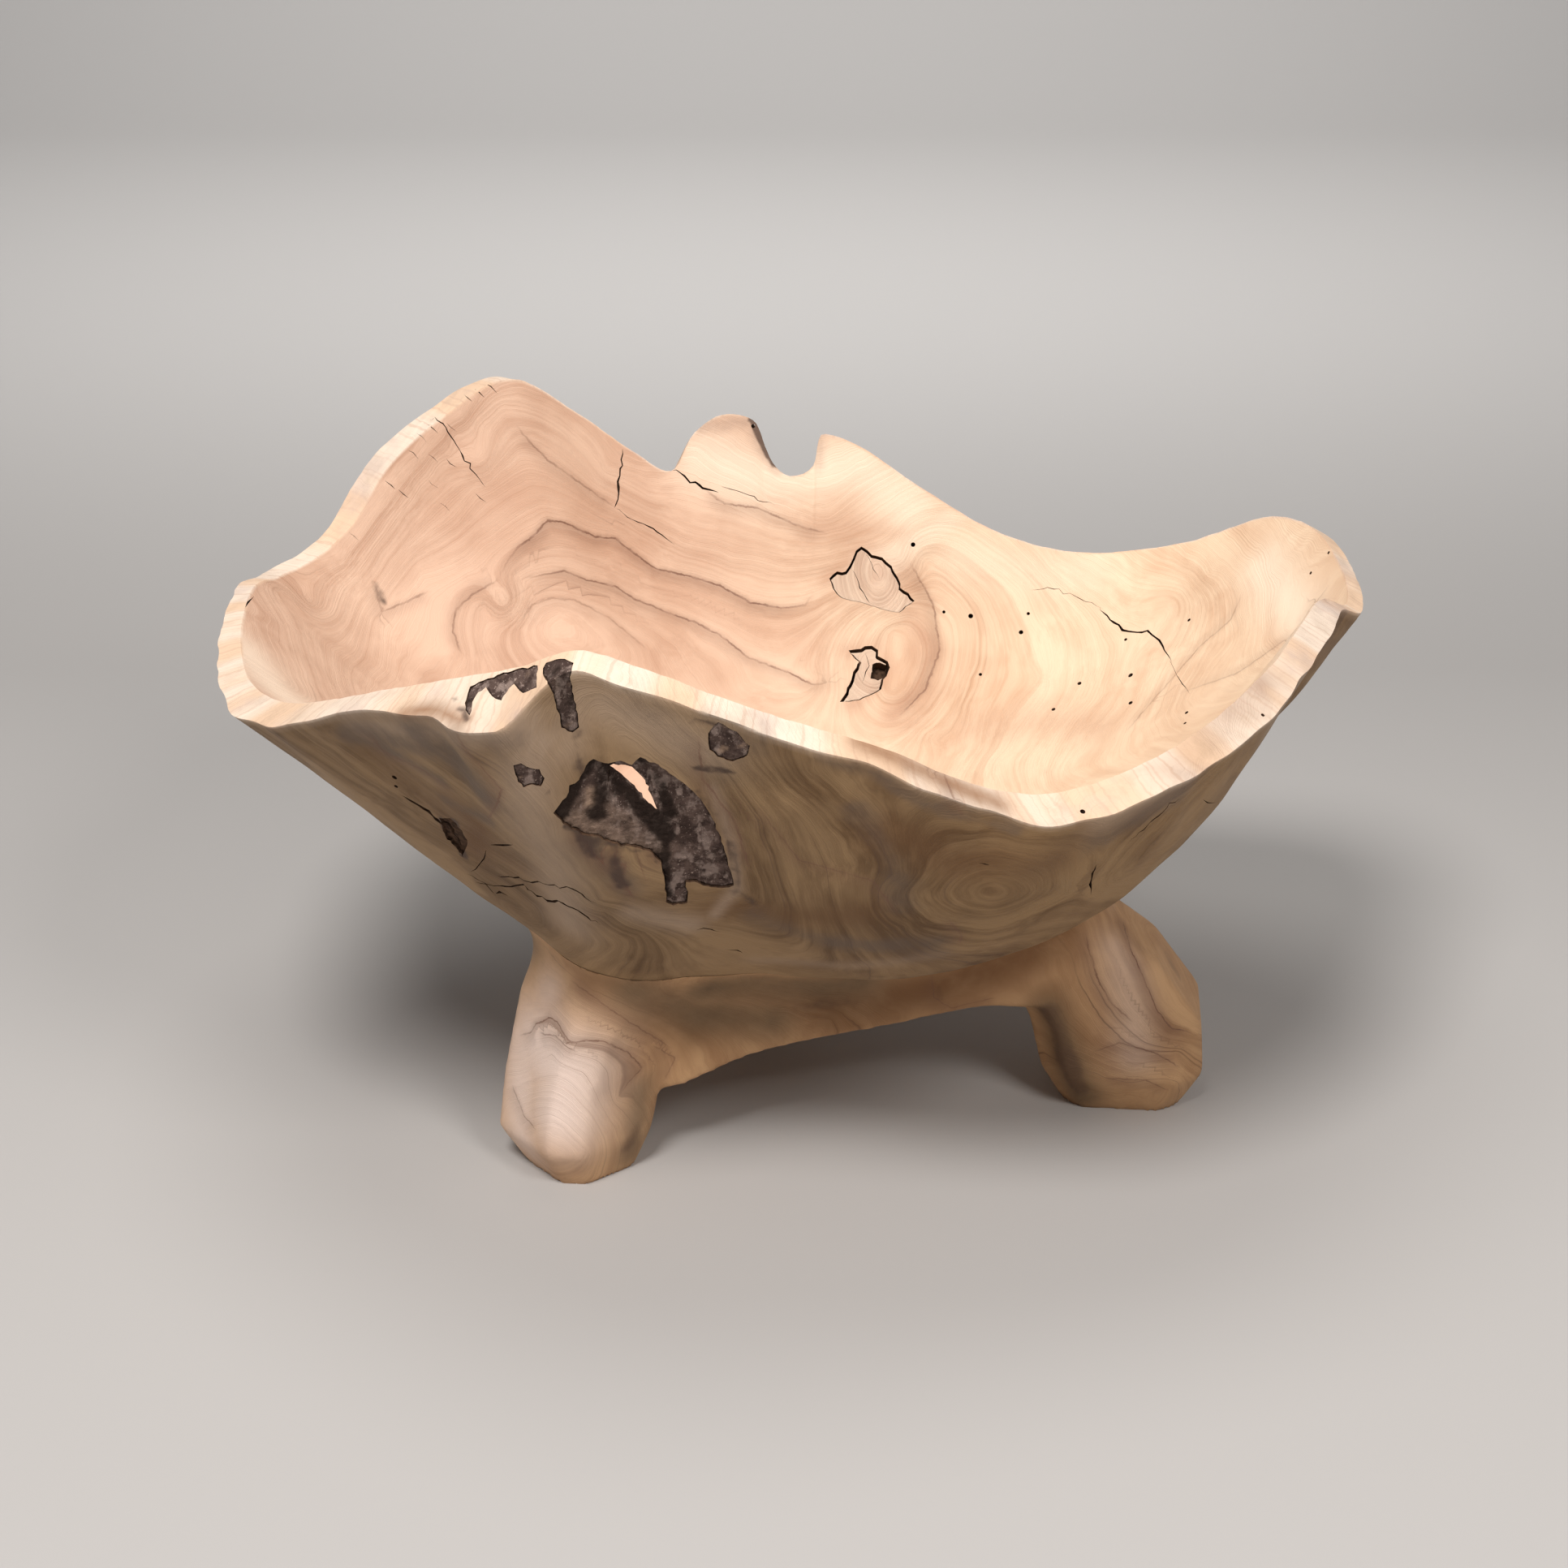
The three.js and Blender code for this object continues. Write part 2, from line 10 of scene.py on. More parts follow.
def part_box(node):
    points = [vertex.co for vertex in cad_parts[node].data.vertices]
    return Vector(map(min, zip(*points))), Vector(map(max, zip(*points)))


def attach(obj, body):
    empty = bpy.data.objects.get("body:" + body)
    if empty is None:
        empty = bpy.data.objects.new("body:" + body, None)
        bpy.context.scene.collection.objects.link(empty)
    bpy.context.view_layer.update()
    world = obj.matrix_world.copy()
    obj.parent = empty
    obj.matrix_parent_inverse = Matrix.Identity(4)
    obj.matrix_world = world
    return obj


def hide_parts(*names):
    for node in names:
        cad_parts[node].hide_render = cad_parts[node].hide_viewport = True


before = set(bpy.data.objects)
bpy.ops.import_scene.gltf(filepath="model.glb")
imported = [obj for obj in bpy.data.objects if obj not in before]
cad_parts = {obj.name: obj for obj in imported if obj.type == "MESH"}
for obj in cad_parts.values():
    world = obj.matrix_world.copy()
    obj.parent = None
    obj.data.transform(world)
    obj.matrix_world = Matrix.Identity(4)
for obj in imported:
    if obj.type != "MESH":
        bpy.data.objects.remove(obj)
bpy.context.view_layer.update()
scene = bpy.context.scene


# Camera: the bowl is seen from the front, 22 degrees from above, at arm's length.
# POLE is the middle of the basin's floor, which is a little off the middle of its box.
PHOTO_SIZE = 1932
FOCAL_PIXELS = 3327
VIEW_DOWN = math.radians(22)
VIEW_DISTANCE = 1.25
POLE = np.array([-0.00465, 0.00046, 0.0])
AIM = POLE + np.array([0, 0, 0.15])

view_forward = np.array([0, math.cos(VIEW_DOWN), -math.sin(VIEW_DOWN)])
view_up = np.array([0, math.sin(VIEW_DOWN), math.cos(VIEW_DOWN)])
view_right = np.array([1.0, 0, 0])
eye = AIM - VIEW_DISTANCE * view_forward


def new_object(name, data):
    made = bpy.data.objects.new(name, data)
    scene.collection.objects.link(made)
    return made


camera_data = bpy.data.cameras.new("camera")
camera_data.sensor_width = 36
camera_data.sensor_fit = "HORIZONTAL"
camera_data.lens = FOCAL_PIXELS / PHOTO_SIZE * camera_data.sensor_width
camera = new_object("camera", camera_data)
camera.location = eye
camera.rotation_euler = (math.pi / 2 - VIEW_DOWN, 0, 0)
scene.camera = camera


# Studio: soft lights from the front left, the front right and overhead, a lit backdrop,
# and a dim room that the camera, mirrors and glass see as pale.
ROOM_STRENGTH = 0.14


def area_light(name, location, target, size, power, colour=(1, 1, 1)):
    light = bpy.data.lights.new(name, "AREA")
    light.shape = "DISK"
    light.size = size
    light.energy = power
    light.color = colour
    lamp = new_object(name, light)
    lamp.location = location
    lamp.rotation_euler = (Vector(target) - Vector(location)).to_track_quat("-Z", "Y").to_euler()


area_light("overhead", (-0.2, 0.15, 1.75), (0, 0, 0.15), 0.9, 8, (1.0, 0.98, 0.95))
area_light("front_left", (-0.44, -1.2, 1.95), (0, 0, 0.12), 0.7, 36, (1.0, 0.97, 0.95))
area_light("front_right", (0.8, -1.2, 1.4), (0.1, 0, 0.1), 0.6, 12, (1.0, 0.97, 0.94))
area_light("backdrop", (0, 1.6, 2.2), (0, 4.2, 1.0), 2.5, 70)


class Signal:
    """An output of a node that takes part in plain sums."""

    def __init__(self, socket):
        self.socket = socket

    def __add__(self, other):
        return calc("ADD", self, other)

    def __sub__(self, other):
        return calc("SUBTRACT", self, other)

    def __mul__(self, other):
        return calc("MULTIPLY", self, other)


def connect(inputs, values):
    """Links each signal to the input of its name in the tree at hand, or sets a plain value."""
    for key, value in values.items():
        if isinstance(value, Signal):
            tree.links.new(value.socket, inputs[key])
        else:
            inputs[key].default_value = value


def signal(kind, output, inputs=None, **settings):
    """Adds a node to the tree at hand and gives one of its outputs."""
    made = tree.nodes.new(kind)
    for key, value in settings.items():
        setattr(made, key, value)
    connect(made.inputs, inputs or {})
    return Signal(made.outputs[output])


def calc(operation, a, b=0.0):
    return signal("ShaderNodeMath", 0, {0: a, 1: b}, operation=operation)


world = bpy.data.worlds.new("room")
world.use_nodes = True
scene.world = world
tree = world.node_tree
tree.nodes.clear()
camera_ray, glossy_ray, glass_ray = (
    signal("ShaderNodeLightPath", f"Is {kind} Ray") for kind in ("Camera", "Glossy", "Transmission"))
room_light = signal("ShaderNodeBackground", 0, {"Color": (0.95, 0.95, 1, 1), "Strength": ROOM_STRENGTH})
room_seen = signal("ShaderNodeBackground", 0, {"Color": (0.80, 0.79, 0.78, 1), "Strength": 1})
seen = calc("MAXIMUM", calc("MAXIMUM", camera_ray, glossy_ray), glass_ray)
room = signal("ShaderNodeMixShader", 0, {0: seen, 1: room_light, 2: room_seen})
connect(tree.nodes.new("ShaderNodeOutputWorld").inputs, {"Surface": room})

scene.view_settings.view_transform = "Standard"


# Floor: a pale matt sweep that curves up far behind the bowl.
FLOOR_HALF_WIDTH = 9.0
FLOOR_FRONT = -9.0
FLOOR_BACK = 3.0
SWEEP_RADIUS = 1.2
SWEEP_HEIGHT = 4.0


def plain_mesh(name, points, faces):
    mesh = bpy.data.meshes.new(name)
    mesh.from_pydata([tuple(p) for p in points], [], [tuple(f) for f in faces])
    mesh.update()
    return new_object(name, mesh)


def new_finish(name, roughness, specular=0.35):
    """A new material, its tree and the inputs of its shader."""
    finish = bpy.data.materials.new(name)
    finish.use_nodes = True
    inputs = finish.node_tree.nodes["Principled BSDF"].inputs
    inputs["Roughness"].default_value = roughness
    inputs["Specular IOR Level"].default_value = specular
    return finish, finish.node_tree, inputs


sweep = [(FLOOR_FRONT, 0.0), (FLOOR_BACK, 0.0)]
for turn in np.linspace(0, math.pi / 2, 17)[1:]:
    sweep.append((FLOOR_BACK + SWEEP_RADIUS * math.sin(turn), SWEEP_RADIUS * (1 - math.cos(turn))))
sweep.append((FLOOR_BACK + SWEEP_RADIUS, SWEEP_HEIGHT))
sweep_points = [(side * FLOOR_HALF_WIDTH, y, z) for y, z in sweep for side in (-1, 1)]
sweep_faces = [(2 * i, 2 * i + 1, 2 * i + 3, 2 * i + 2) for i in range(len(sweep) - 1)]
floor = plain_mesh("floor", sweep_points, sweep_faces)
floor.data.shade_smooth()
floor_finish, tree, shader = new_finish("floor_pale", 0.8, 0.5)
connect(shader, {"Base Color": (0.50, 0.482, 0.465, 1)})
floor.data.materials.append(floor_finish)


# Basin: the upper half of a teak root, hollowed with an adze and sanded, with a
# chiselled band left round its irregular rim. It is drawn in millimetres over the pole
# until its skin is made.
BASIN_LIFT = 78
FLOOR_THICKNESS = 34
INNER_FLOOR_REACH = 0.5
OUTER_FLOOR_REACH = 0.58
WALL_STRAIGHT = 0.6
PULL_START = 0.4
SMOOTHING_ANGLE = 13
COLUMN_PITCH = 3.1
OUTER_ROWS = 92
INNER_ROWS = 88
BAND_ROWS = 5
RAGGED_BAND = 0.24
RAGGED_LENGTH = 19
RAGGED_START = 7.3
CREASE_COLUMNS = 5
ADZE_LENGTH = 34
ADZE_DEPTH = 0.9
CHISEL_LENGTH = 9
CHISEL_DEPTH = 0.45


def path(text):
    """Points written with commas inside and spaces between, such as pixels of the photograph."""
    return [tuple(float(part) for part in word.split(",")) for word in text.split()]


# Rim stations: x, y, height over the underside, lean of the wall, width of the band and
# fall of the band outwards
RIM = np.array(path("""
254,4,158,58,7,30 259,38,163,60,8,30 251,86,171,61,10,30 236,113,167,62,10,30 201,143,145,64,10,30
149,162,134,67,10,30 109,172,142,70,10,30 70,181,163,72,11,30 40,187,182,74,11,30 28,189,187,75,9,30
19,190,188,75,7,30 17,188,182,75,7,30 15,186,173,75,8,30 10,184,169,75,8,30 3,184,168,75,9,30
-4,187,172,75,10,30 -10,191,182,75,10,30 -14,194,193,75,10,30 -18,195,196,75,11,30
-32,196,197,75,12,30 -46,194,188,75,12,30 -58,187,170,75,10,30 -78,186,181,74,10,25
-105,181,202,71,12,15 -138,170,222,66,12,5 -170,157,206,62,12,-5 -196,145,185,58,12,-8
-213,127,160,52,11,-8 -227,110,149,47,10,-5 -242,82,147,43,10,0 -248,52,152,40,9,5
-246,10,152,38,8,10 -239,-35,150,38,10,15 -226,-78,149,40,14,20 -205,-111,153,45,15,25
-155,-160,177,56,12,32 -127,-178,188,60,20,42 -100,-190,197,63,22,50 -78,-197,206,66,6,36
-57,-197,200,68,10,30 -8,-197,181,68,12,30 36,-194,166,68,12,30 75,-187,147,67,13,30
106,-178,140,66,14,30 154,-152,148,64,11,30 202,-92,160,60,10,30 226,-42,165,58,12,30
240,-12,166,58,10,30
"""))
# Swellings of the carved outside: azimuth, its spread, place, its spread, height
OUTSIDE_RELIEF = path("-112,9,0.8,0.3,7 -97,9,0.72,0.25,-8 -126,15,0.42,0.13,12 -32,24,0.8,0.28,8")


def closed_spline(points, steps, power=0.5):
    """Catmull-Rom curve through a closed ring of points, centripetal or, at power 0, uniform."""
    found = []
    count = len(points)
    for i in range(count):
        p0, p1, p2, p3 = (points[(i + k) % count] for k in (-1, 0, 1, 2))
        d0, d1, d2 = (np.linalg.norm(b - a) ** power for a, b in ((p0, p1), (p1, p2), (p2, p3)))
        t1 = ((p1 - p0) / d0 - (p2 - p0) / (d0 + d1) + (p2 - p1) / d1) * d1
        t2 = ((p2 - p1) / d1 - (p3 - p1) / (d1 + d2) + (p3 - p2) / d2) * d1
        for k in range(steps[i]):
            t = k / steps[i]
            found.append(
                p1 + t1 * t + (3 * (p2 - p1) - 2 * t1 - t2) * t ** 2
                + (2 * (p1 - p2) + t1 + t2) * t ** 3)
    return np.array(found)


def smoothstep(value, low, high):
    t = np.clip((value - low) / (high - low), 0, 1)
    return t * t * (3 - 2 * t)


def angle_between(a, b):
    return np.abs((a - b + 540) % 360 - 180)


rim_points = RIM[:, :3] + [0, 0, BASIN_LIFT]
rim_lengths = np.linalg.norm(np.roll(rim_points, -1, axis=0) - rim_points, axis=1)
rim_steps = np.maximum(1, np.round(rim_lengths / COLUMN_PITCH)).astype(int)
arris = closed_spline(rim_points, rim_steps)
shape = closed_spline(RIM[:, 3:], rim_steps, 0)
azimuth = np.degrees(np.arctan2(arris[:, 1], arris[:, 0])) % 360
turns = np.radians(azimuth)
around_rim = np.cumsum(np.linalg.norm(np.roll(arris, -1, axis=0) - arris, axis=1))
shape[:, 1] *= 1 + RAGGED_BAND * np.array([
    noise.noise(Vector((at / RAGGED_LENGTH, RAGGED_START, 0))) for at in around_rim])

# Columns: radius, height, lean, band, fall, and their neighbourhood averages
column = np.column_stack([np.hypot(arris[:, 0], arris[:, 1]), arris[:, 2], shape])
spans = angle_between(np.roll(azimuth, -1), np.roll(azimuth, 1))
nearness = np.exp(-(angle_between(azimuth[:, None], azimuth[None, :]) / SMOOTHING_ANGLE) ** 2)
nearness *= spans[None, :]
smooth_column = nearness @ column / nearness.sum(axis=1, keepdims=True)


def band_edge(columns, part):
    radius, height, _, band, fall = columns.T
    reach = part * band
    return np.column_stack([
        radius + reach * np.cos(np.radians(fall)),
        height - reach * np.sin(np.radians(fall))])


def meridian(floor_height, floor_reach, top, lean, t):
    """Points and directions up a column's cubic curve from the pole to its top."""
    radius, height = top.T
    straight = WALL_STRAIGHT * (height - floor_height)
    zero = np.zeros_like(radius)
    knots = np.array([
        [zero, zero + floor_height],
        [floor_reach * radius, zero + floor_height],
        [radius - straight / np.tan(np.radians(lean)), height - straight],
        [radius, height]]).transpose(0, 2, 1)[:, :, None, :]
    t = t[..., None]
    a, b, c, d = knots
    points = a * (1 - t) ** 3 + 3 * b * t * (1 - t) ** 2 + 3 * c * t ** 2 * (1 - t) + d * t ** 3
    slopes = 3 * (1 - t) ** 2 * (b - a) + 6 * t * (1 - t) * (c - b) + 3 * t ** 2 * (d - c)
    return points, slopes / np.linalg.norm(slopes, axis=2, keepdims=True)


def onto_meridians(flat):
    turn = turns[:, None]
    return np.stack([flat[..., 0] * np.cos(turn), flat[..., 0] * np.sin(turn), flat[..., 1]], axis=2)


def wall_points(inner, places):
    """A grid of points up the inner or outer wall: one row of columns for each place."""
    floor_height = BASIN_LIFT + (FLOOR_THICKNESS if inner else 0)
    floor_reach = INNER_FLOOR_REACH if inner else OUTER_FLOOR_REACH
    part = 0 if inner else 1
    top = band_edge(column, part)
    smooth_top = band_edge(smooth_column, part)

    def curve(t):
        return meridian(floor_height, floor_reach, smooth_top, smooth_column[:, 2], t)

    low = np.zeros((len(column), 1))
    high = np.ones((len(column), 1))
    for _ in range(30):
        middle = (low + high) / 2
        below = curve(middle)[0][..., 1] < top[:, 1:]
        low = np.where(below, middle, low)
        high = np.where(below, high, middle)
    trim = np.where(top[:, 1:] < smooth_top[:, 1:], high, 1.0)
    pulled = top[:, None, :] - curve(trim)[0]
    pull = smoothstep(places, PULL_START, 1)[None, :]
    points, slopes = curve(places[None, :] - (1 - trim) * pull)
    points = points + pulled * pull[..., None]
    if not inner:
        out = np.zeros(points.shape[:2])
        for at_azimuth, wide, at_place, tall, height in OUTSIDE_RELIEF:
            across = angle_between(azimuth, at_azimuth)[:, None] / wide
            along = (places[None, :] - at_place) / tall
            out += height * np.exp(-across ** 2 - along ** 2)
        points[..., 0] += slopes[..., 1] * out
        points[..., 1] -= slopes[..., 0] * out
    return onto_meridians(points).transpose(1, 0, 2)


def evened(wall, places):
    """Irons out upright creases under the notches of the rim, less and less near the top."""
    radius = np.hypot(wall[..., 0], wall[..., 1])
    height = wall[..., 2].copy()
    steps = np.arange(-3 * CREASE_COLUMNS, 3 * CREASE_COLUMNS + 1)
    for row, place in enumerate(places):
        spread = CREASE_COLUMNS * (1 - smoothstep(place, 0.7, 0.985))
        share = np.exp(-0.5 * (steps / max(spread, 0.1)) ** 2)
        share /= share.sum()
        for part in (radius, height):
            part[row] = sum(w * np.roll(part[row], k) for w, k in zip(share, steps))
    return np.stack([radius * np.cos(turns), radius * np.sin(turns), height], axis=2)


def places_up(rows):
    return np.append(np.linspace(0, 0.975, rows + 1)[1:], [0.986, 0.995, 1])


def ring_normals(rings):
    around = np.roll(rings, -1, axis=1) - np.roll(rings, 1, axis=1)
    normal = np.cross(around, np.gradient(rings, axis=0))
    return normal / np.maximum(1e-9, np.linalg.norm(normal, axis=2, keepdims=True))


def noise_at(points, scale, octaves=2):
    """Smooth noise from -1 to 1 at points in millimetres, with features of a given size."""
    return np.array([
        noise.fractal(Vector(p) / scale, 0.9, 2.0, octaves) for p in points.reshape(-1, 3)
    ]).reshape(points.shape[:-1])


outer_places = places_up(OUTER_ROWS)
inner_places = places_up(INNER_ROWS)
outer_wall = evened(wall_points(False, outer_places), outer_places)
inner_wall = evened(wall_points(True, inner_places), inner_places)
band_parts = np.linspace(1, 0, BAND_ROWS + 2)[1:-1]
band_rows = np.stack([onto_meridians(band_edge(column, part)[:, None, :])[:, 0] for part in band_parts])
rings = np.concatenate([outer_wall, band_rows, inner_wall[::-1]])
outer_count = len(outer_wall)
inner_start = outer_count + BAND_ROWS

# Hand work: low hollows from the adze outside, flatter inside, crisp cuts on the band
waves = ADZE_DEPTH * noise_at(rings, ADZE_LENGTH)
waves[:outer_count] *= 1.2
waves[inner_start:] *= 0.55
row_place = np.concatenate([outer_places, np.ones(BAND_ROWS), inner_places[::-1]])
waves *= (1 - smoothstep(row_place, 0.93, 0.985))[:, None]
chiselled = slice(outer_count - 3, inner_start + 1)
cuts = CHISEL_DEPTH * noise_at(rings[chiselled], CHISEL_LENGTH)
normals = ring_normals(rings)
rings_carved = rings + normals * waves[..., None]
rings_carved[chiselled] += normals[chiselled] * cuts[..., None]
lowest, highest = ((np.array(corner) - POLE) * 1000 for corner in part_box("basin"))
rings_carved = np.clip(rings_carved, lowest, highest)


def skin(name, low_pole, rings, high_pole):
    """A closed mesh in metres through rings of points in millimetres over the pole."""
    rows, columns = rings.shape[:2]
    top = 1 + (rows - 1) * columns
    faces = []
    for j in range(columns):
        after = (j + 1) % columns
        faces.append((0, 1 + after, 1 + j))
        for low in range(1, top, columns):
            high = low + columns
            faces.append((low + j, low + after, high + after, high + j))
        faces.append((rows * columns + 1, top + j, top + after))
    points = np.concatenate([[low_pole], rings.reshape(-1, 3), [high_pole]]) / 1000 + POLE
    return plain_mesh(name, points, faces)


def tree_of(piece):
    mesh = piece.data
    return BVHTree.FromPolygons([v.co for v in mesh.vertices], [p.vertices for p in mesh.polygons])


high_pole = [0, 0, BASIN_LIFT + FLOOR_THICKNESS]
basin = skin("basin_carved", [0, 0, BASIN_LIFT], rings_carved, high_pole)
blank = new_object("blank", basin.data.copy())
uncut = tree_of(blank)

# Wood figure: bands, streaks and thin dark lines that follow the level lines of a flow
COLOUR = "NodeSocketColor"
NUMBER = "NodeSocketFloat"


def ramp(value, low, high, to_low=0.0, to_high=1.0):
    """A smooth step of a value from low to high."""
    inputs = {"Value": value, "From Min": low, "From Max": high, "To Min": to_low, "To Max": to_high}
    return signal("ShaderNodeMapRange", "Result", inputs, interpolation_type="SMOOTHSTEP")


def blend(share, a, b):
    return signal("ShaderNodeMix", 2, {0: share, 6: a, 7: b}, data_type="RGBA")


def noise_of(place, scale, detail=2.0, roughness=0.5, dimensions="3D"):
    inputs = {"W" if dimensions == "1D" else "Vector": place, "Scale": scale,
              "Detail": detail, "Roughness": roughness}
    return signal("ShaderNodeTexNoise", "Fac", inputs, noise_dimensions=dimensions)


def by_name(sockets):
    return {socket.name: Signal(socket) for socket in sockets}


def new_group(name, inputs, outputs, kind="ShaderNodeTree"):
    """A new node group, its inputs as signals and the sockets of its outputs."""
    group = bpy.data.node_groups.new(name, kind)
    for key, (socket_kind, value) in inputs.items():
        socket = group.interface.new_socket(key, in_out="INPUT", socket_type=socket_kind)
        if value is not None:
            socket.default_value = value
    for key, socket_kind in outputs.items():
        group.interface.new_socket(key, in_out="OUTPUT", socket_type=socket_kind)
    given = by_name(group.nodes.new("NodeGroupInput").outputs)
    return group, given, group.nodes.new("NodeGroupOutput").inputs


figure, given, result = new_group("wood_figure", {
    "Flow": (NUMBER, 0.0),
    "Light": (COLOUR, (0.8, 0.55, 0.38, 1)),
    "Dark": (COLOUR, (0.5, 0.3, 0.18, 1)),
    "Bands": (NUMBER, 0.6),
    "Line Amount": (NUMBER, 0.5),
    "Warp": (NUMBER, 3.0),
}, {"Color": COLOUR, "Line": NUMBER, "Height": NUMBER})
tree = figure
place = signal("ShaderNodeTexCoord", "Object")
bent = (noise_of(place, 14, 3) - 0.5) * (given["Warp"] * 4) + given["Flow"]
bent = (noise_of(place, 110, 2, 0.6) - 0.5) * (given["Warp"] * 0.35) + bent
wide_bands = ramp(noise_of(bent, 0.06, 2, 0.5, "1D"), 0.3, 0.7)
streaks = ramp(noise_of(bent, 0.3, 2.5, 0.55, "1D"), 0.3, 0.72)
fibres = ramp(noise_of(bent, 3.2, 2, 0.6, "1D"), 0.25, 0.75)
patches = ramp(noise_of(place, 22, 3, 0.55), 0.3, 0.7)
clouds = ramp(noise_of(place, 9, 4, 0.6), 0.3, 0.7)
fleck_length = noise_of(place, 18, 1) * 9
fleck_place = signal("ShaderNodeCombineXYZ", 0, {"X": bent * 0.3, "Y": fleck_length})
flecks = ramp(noise_of(fleck_place, 1, 3, 0.6), 0.36, 0.64)
grainy = wide_bands * 0.5 + streaks * patches * 0.34 + fibres * 0.07
for uneven in (patches, clouds, flecks):
    grainy = grainy + (uneven - 0.5) * 0.3
seam_off = calc("ABSOLUTE", noise_of(bent, 0.045, 2, 0.4, "1D") - 0.5)
seam_where = ramp(noise_of(place, 9), 0.45, 0.62)
seam = ramp(seam_off, 0, 0.006, 1, 0) * seam_where * given["Line Amount"]
body = blend(grainy * given["Bands"], given["Light"], given["Dark"])
body = blend(seam * 0.7, body, (0.12, 0.065, 0.04, 1))
connect(result, {"Color": body, "Line": seam, "Height": fibres * 0.5 + streaks})

# Drawn line: a dark core with a soft brown edge and a wider shade on one side, from a
# signed distance in mm
drawn, given, result = new_group("drawn_line", {
    "Color": (COLOUR, (0.8, 0.55, 0.38, 1)),
    "Distance": (NUMBER, 50.0),
    "Strength": (NUMBER, 0.0),
    "Core": (NUMBER, 0.75),
    "Line Color": (COLOUR, (0.20, 0.098, 0.062, 1)),
}, {"Color": COLOUR})
tree = drawn
place = signal("ShaderNodeTexCoord", "Object")
signed = (noise_of(place, 260, 3, 0.6) - 0.5) * 2.2 + given["Distance"]
off = calc("ABSOLUTE", signed)
core = ramp(off, given["Core"] * 0.3, given["Core"], 1, 0)
core = core * (ramp(noise_of(place, 120, 2, 0.6), 0.3, 0.6) * 0.6 + 0.4) * given["Strength"]
shaded = ramp(signed, 0, 9, 1.3, 0) * calc("GREATER_THAN", signed, 0)
halo = calc("MAXIMUM", ramp(off, 0, 3.2, 1, 0), shaded) * given["Strength"] * 0.55
tinted = blend(halo, given["Color"], blend(0.62, given["Color"], given["Line Color"]))
connect(result, {"Color": blend(core, tinted, given["Line Color"])})


def placed(group, values):
    """Places a node group in the tree at hand and gives its outputs by name."""
    return by_name(signal("ShaderNodeGroup", 0, values, node_tree=group).socket.node.outputs)


def attribute_of(name):
    return signal("ShaderNodeAttribute", "Fac", attribute_name=name)


def lined(colour, **more):
    """A colour with the piece's drawn lines over it."""
    values = {"Color": colour, "Distance": attribute_of("line"), "Strength": attribute_of("line_strength")}
    return placed(drawn, values | more)["Color"]


def raised(height, distance, strength):
    return signal("ShaderNodeBump", 0, {"Height": height, "Distance": distance, "Strength": strength})


# Sanded teak of the basin: pale inside; browner outside and darkened there as painted shade; paler on the
# chiselled band, partly its chalky tone and partly a painted highlight
teak, tree, shader = new_finish("basin_teak", 0.56, 0.22)
inside, flush_and_shade, around, weathering_and_shade, stain_and_shade = (
    attribute_of(name) for name in ("inside", "flush_and_shade", "around", "weathering_and_shade", "stain_and_shade"))
place = signal("ShaderNodeTexCoord", "Object")
cloud = noise_of(place, 30, 4, 0.55)
mottle = noise_of(place, 95, 3, 0.6)
# Painted light: inside, the walls are painted lighter towards the right and darker towards the left, as the
# light falls from the left; outside, the colours turn only a little browner to the right.
side_light_ramp = ramp(signal("ShaderNodeSeparateXYZ", "X", {"Vector": place}), -0.10, 0.14)
inner_light = blend(side_light_ramp, (0.74, 0.505, 0.365, 1), (0.87, 0.67, 0.475, 1))
inner_dark = blend(side_light_ramp, (0.48, 0.27, 0.175, 1), (0.61, 0.37, 0.225, 1))
# Painted shade: the outside colours are much darker than the inside ones because the outer walls face down,
# away from the light.
shaded_outer_light = blend(side_light_ramp, (0.36, 0.228, 0.118, 1), (0.34, 0.205, 0.095, 1))
shaded_outer_dark = blend(side_light_ramp, (0.15, 0.083, 0.036, 1), (0.14, 0.070, 0.026, 1))
wood = placed(figure, {
    "Flow": attribute_of("flow"), "Light": blend(inside, shaded_outer_light, inner_light),
    "Dark": blend(inside, shaded_outer_dark, inner_dark),
    "Line Amount": inside * -0.6 + 0.85, "Bands": inside * -0.35 + 1.1})
# Flush: darker heartwood and halos round the knots, and painted shade where its strokes lie on the shaded
# facet below the band.
flush_and_shade = flush_and_shade * ramp(cloud, 0.25, 0.6, 0.55, 1)
flush_and_shade_colour = blend(inside, (0.17, 0.083, 0.033, 1), (0.52, 0.29, 0.185, 1))
colour = blend(flush_and_shade, wood["Color"], flush_and_shade_colour)
# Pale: paler patches of the wood, and painted light on the lit facets at the front left and on the
# underside where light from the floor falls.
paler_and_painted_light = blend(inside, (0.50, 0.365, 0.265, 1), (0.96, 0.81, 0.64, 1))
colour = blend(attribute_of("pale_and_painted_light") * 0.8, colour, paler_and_painted_light)
strokes_seen = noise_of(mottle * 6 + around, 0.45, 3, 0.6, "1D")
tint = ramp(noise_of(around, 0.022, 2, 0.5, "1D"), 0.42, 0.62)
# The chiselled band is painted near white: partly its chalky cut tone, partly a painted highlight along the
# upturned rim.
band_colour = blend(tint, (0.88, 0.72, 0.58, 1), (0.82, 0.58, 0.40, 1))
band_colour = blend(ramp(strokes_seen, 0.48, 0.7) * 0.4, band_colour, (0.62, 0.40, 0.28, 1))
band_colour = blend(ramp(cloud, 0.5, 0.7) * 0.5, band_colour, (0.60, 0.46, 0.40, 1))
band_colour = blend(flush_and_shade, band_colour, (0.33, 0.175, 0.095, 1))
colour = blend(attribute_of("band") * ramp(mottle, 0.2, 0.6, 0.8, 1), colour, band_colour)
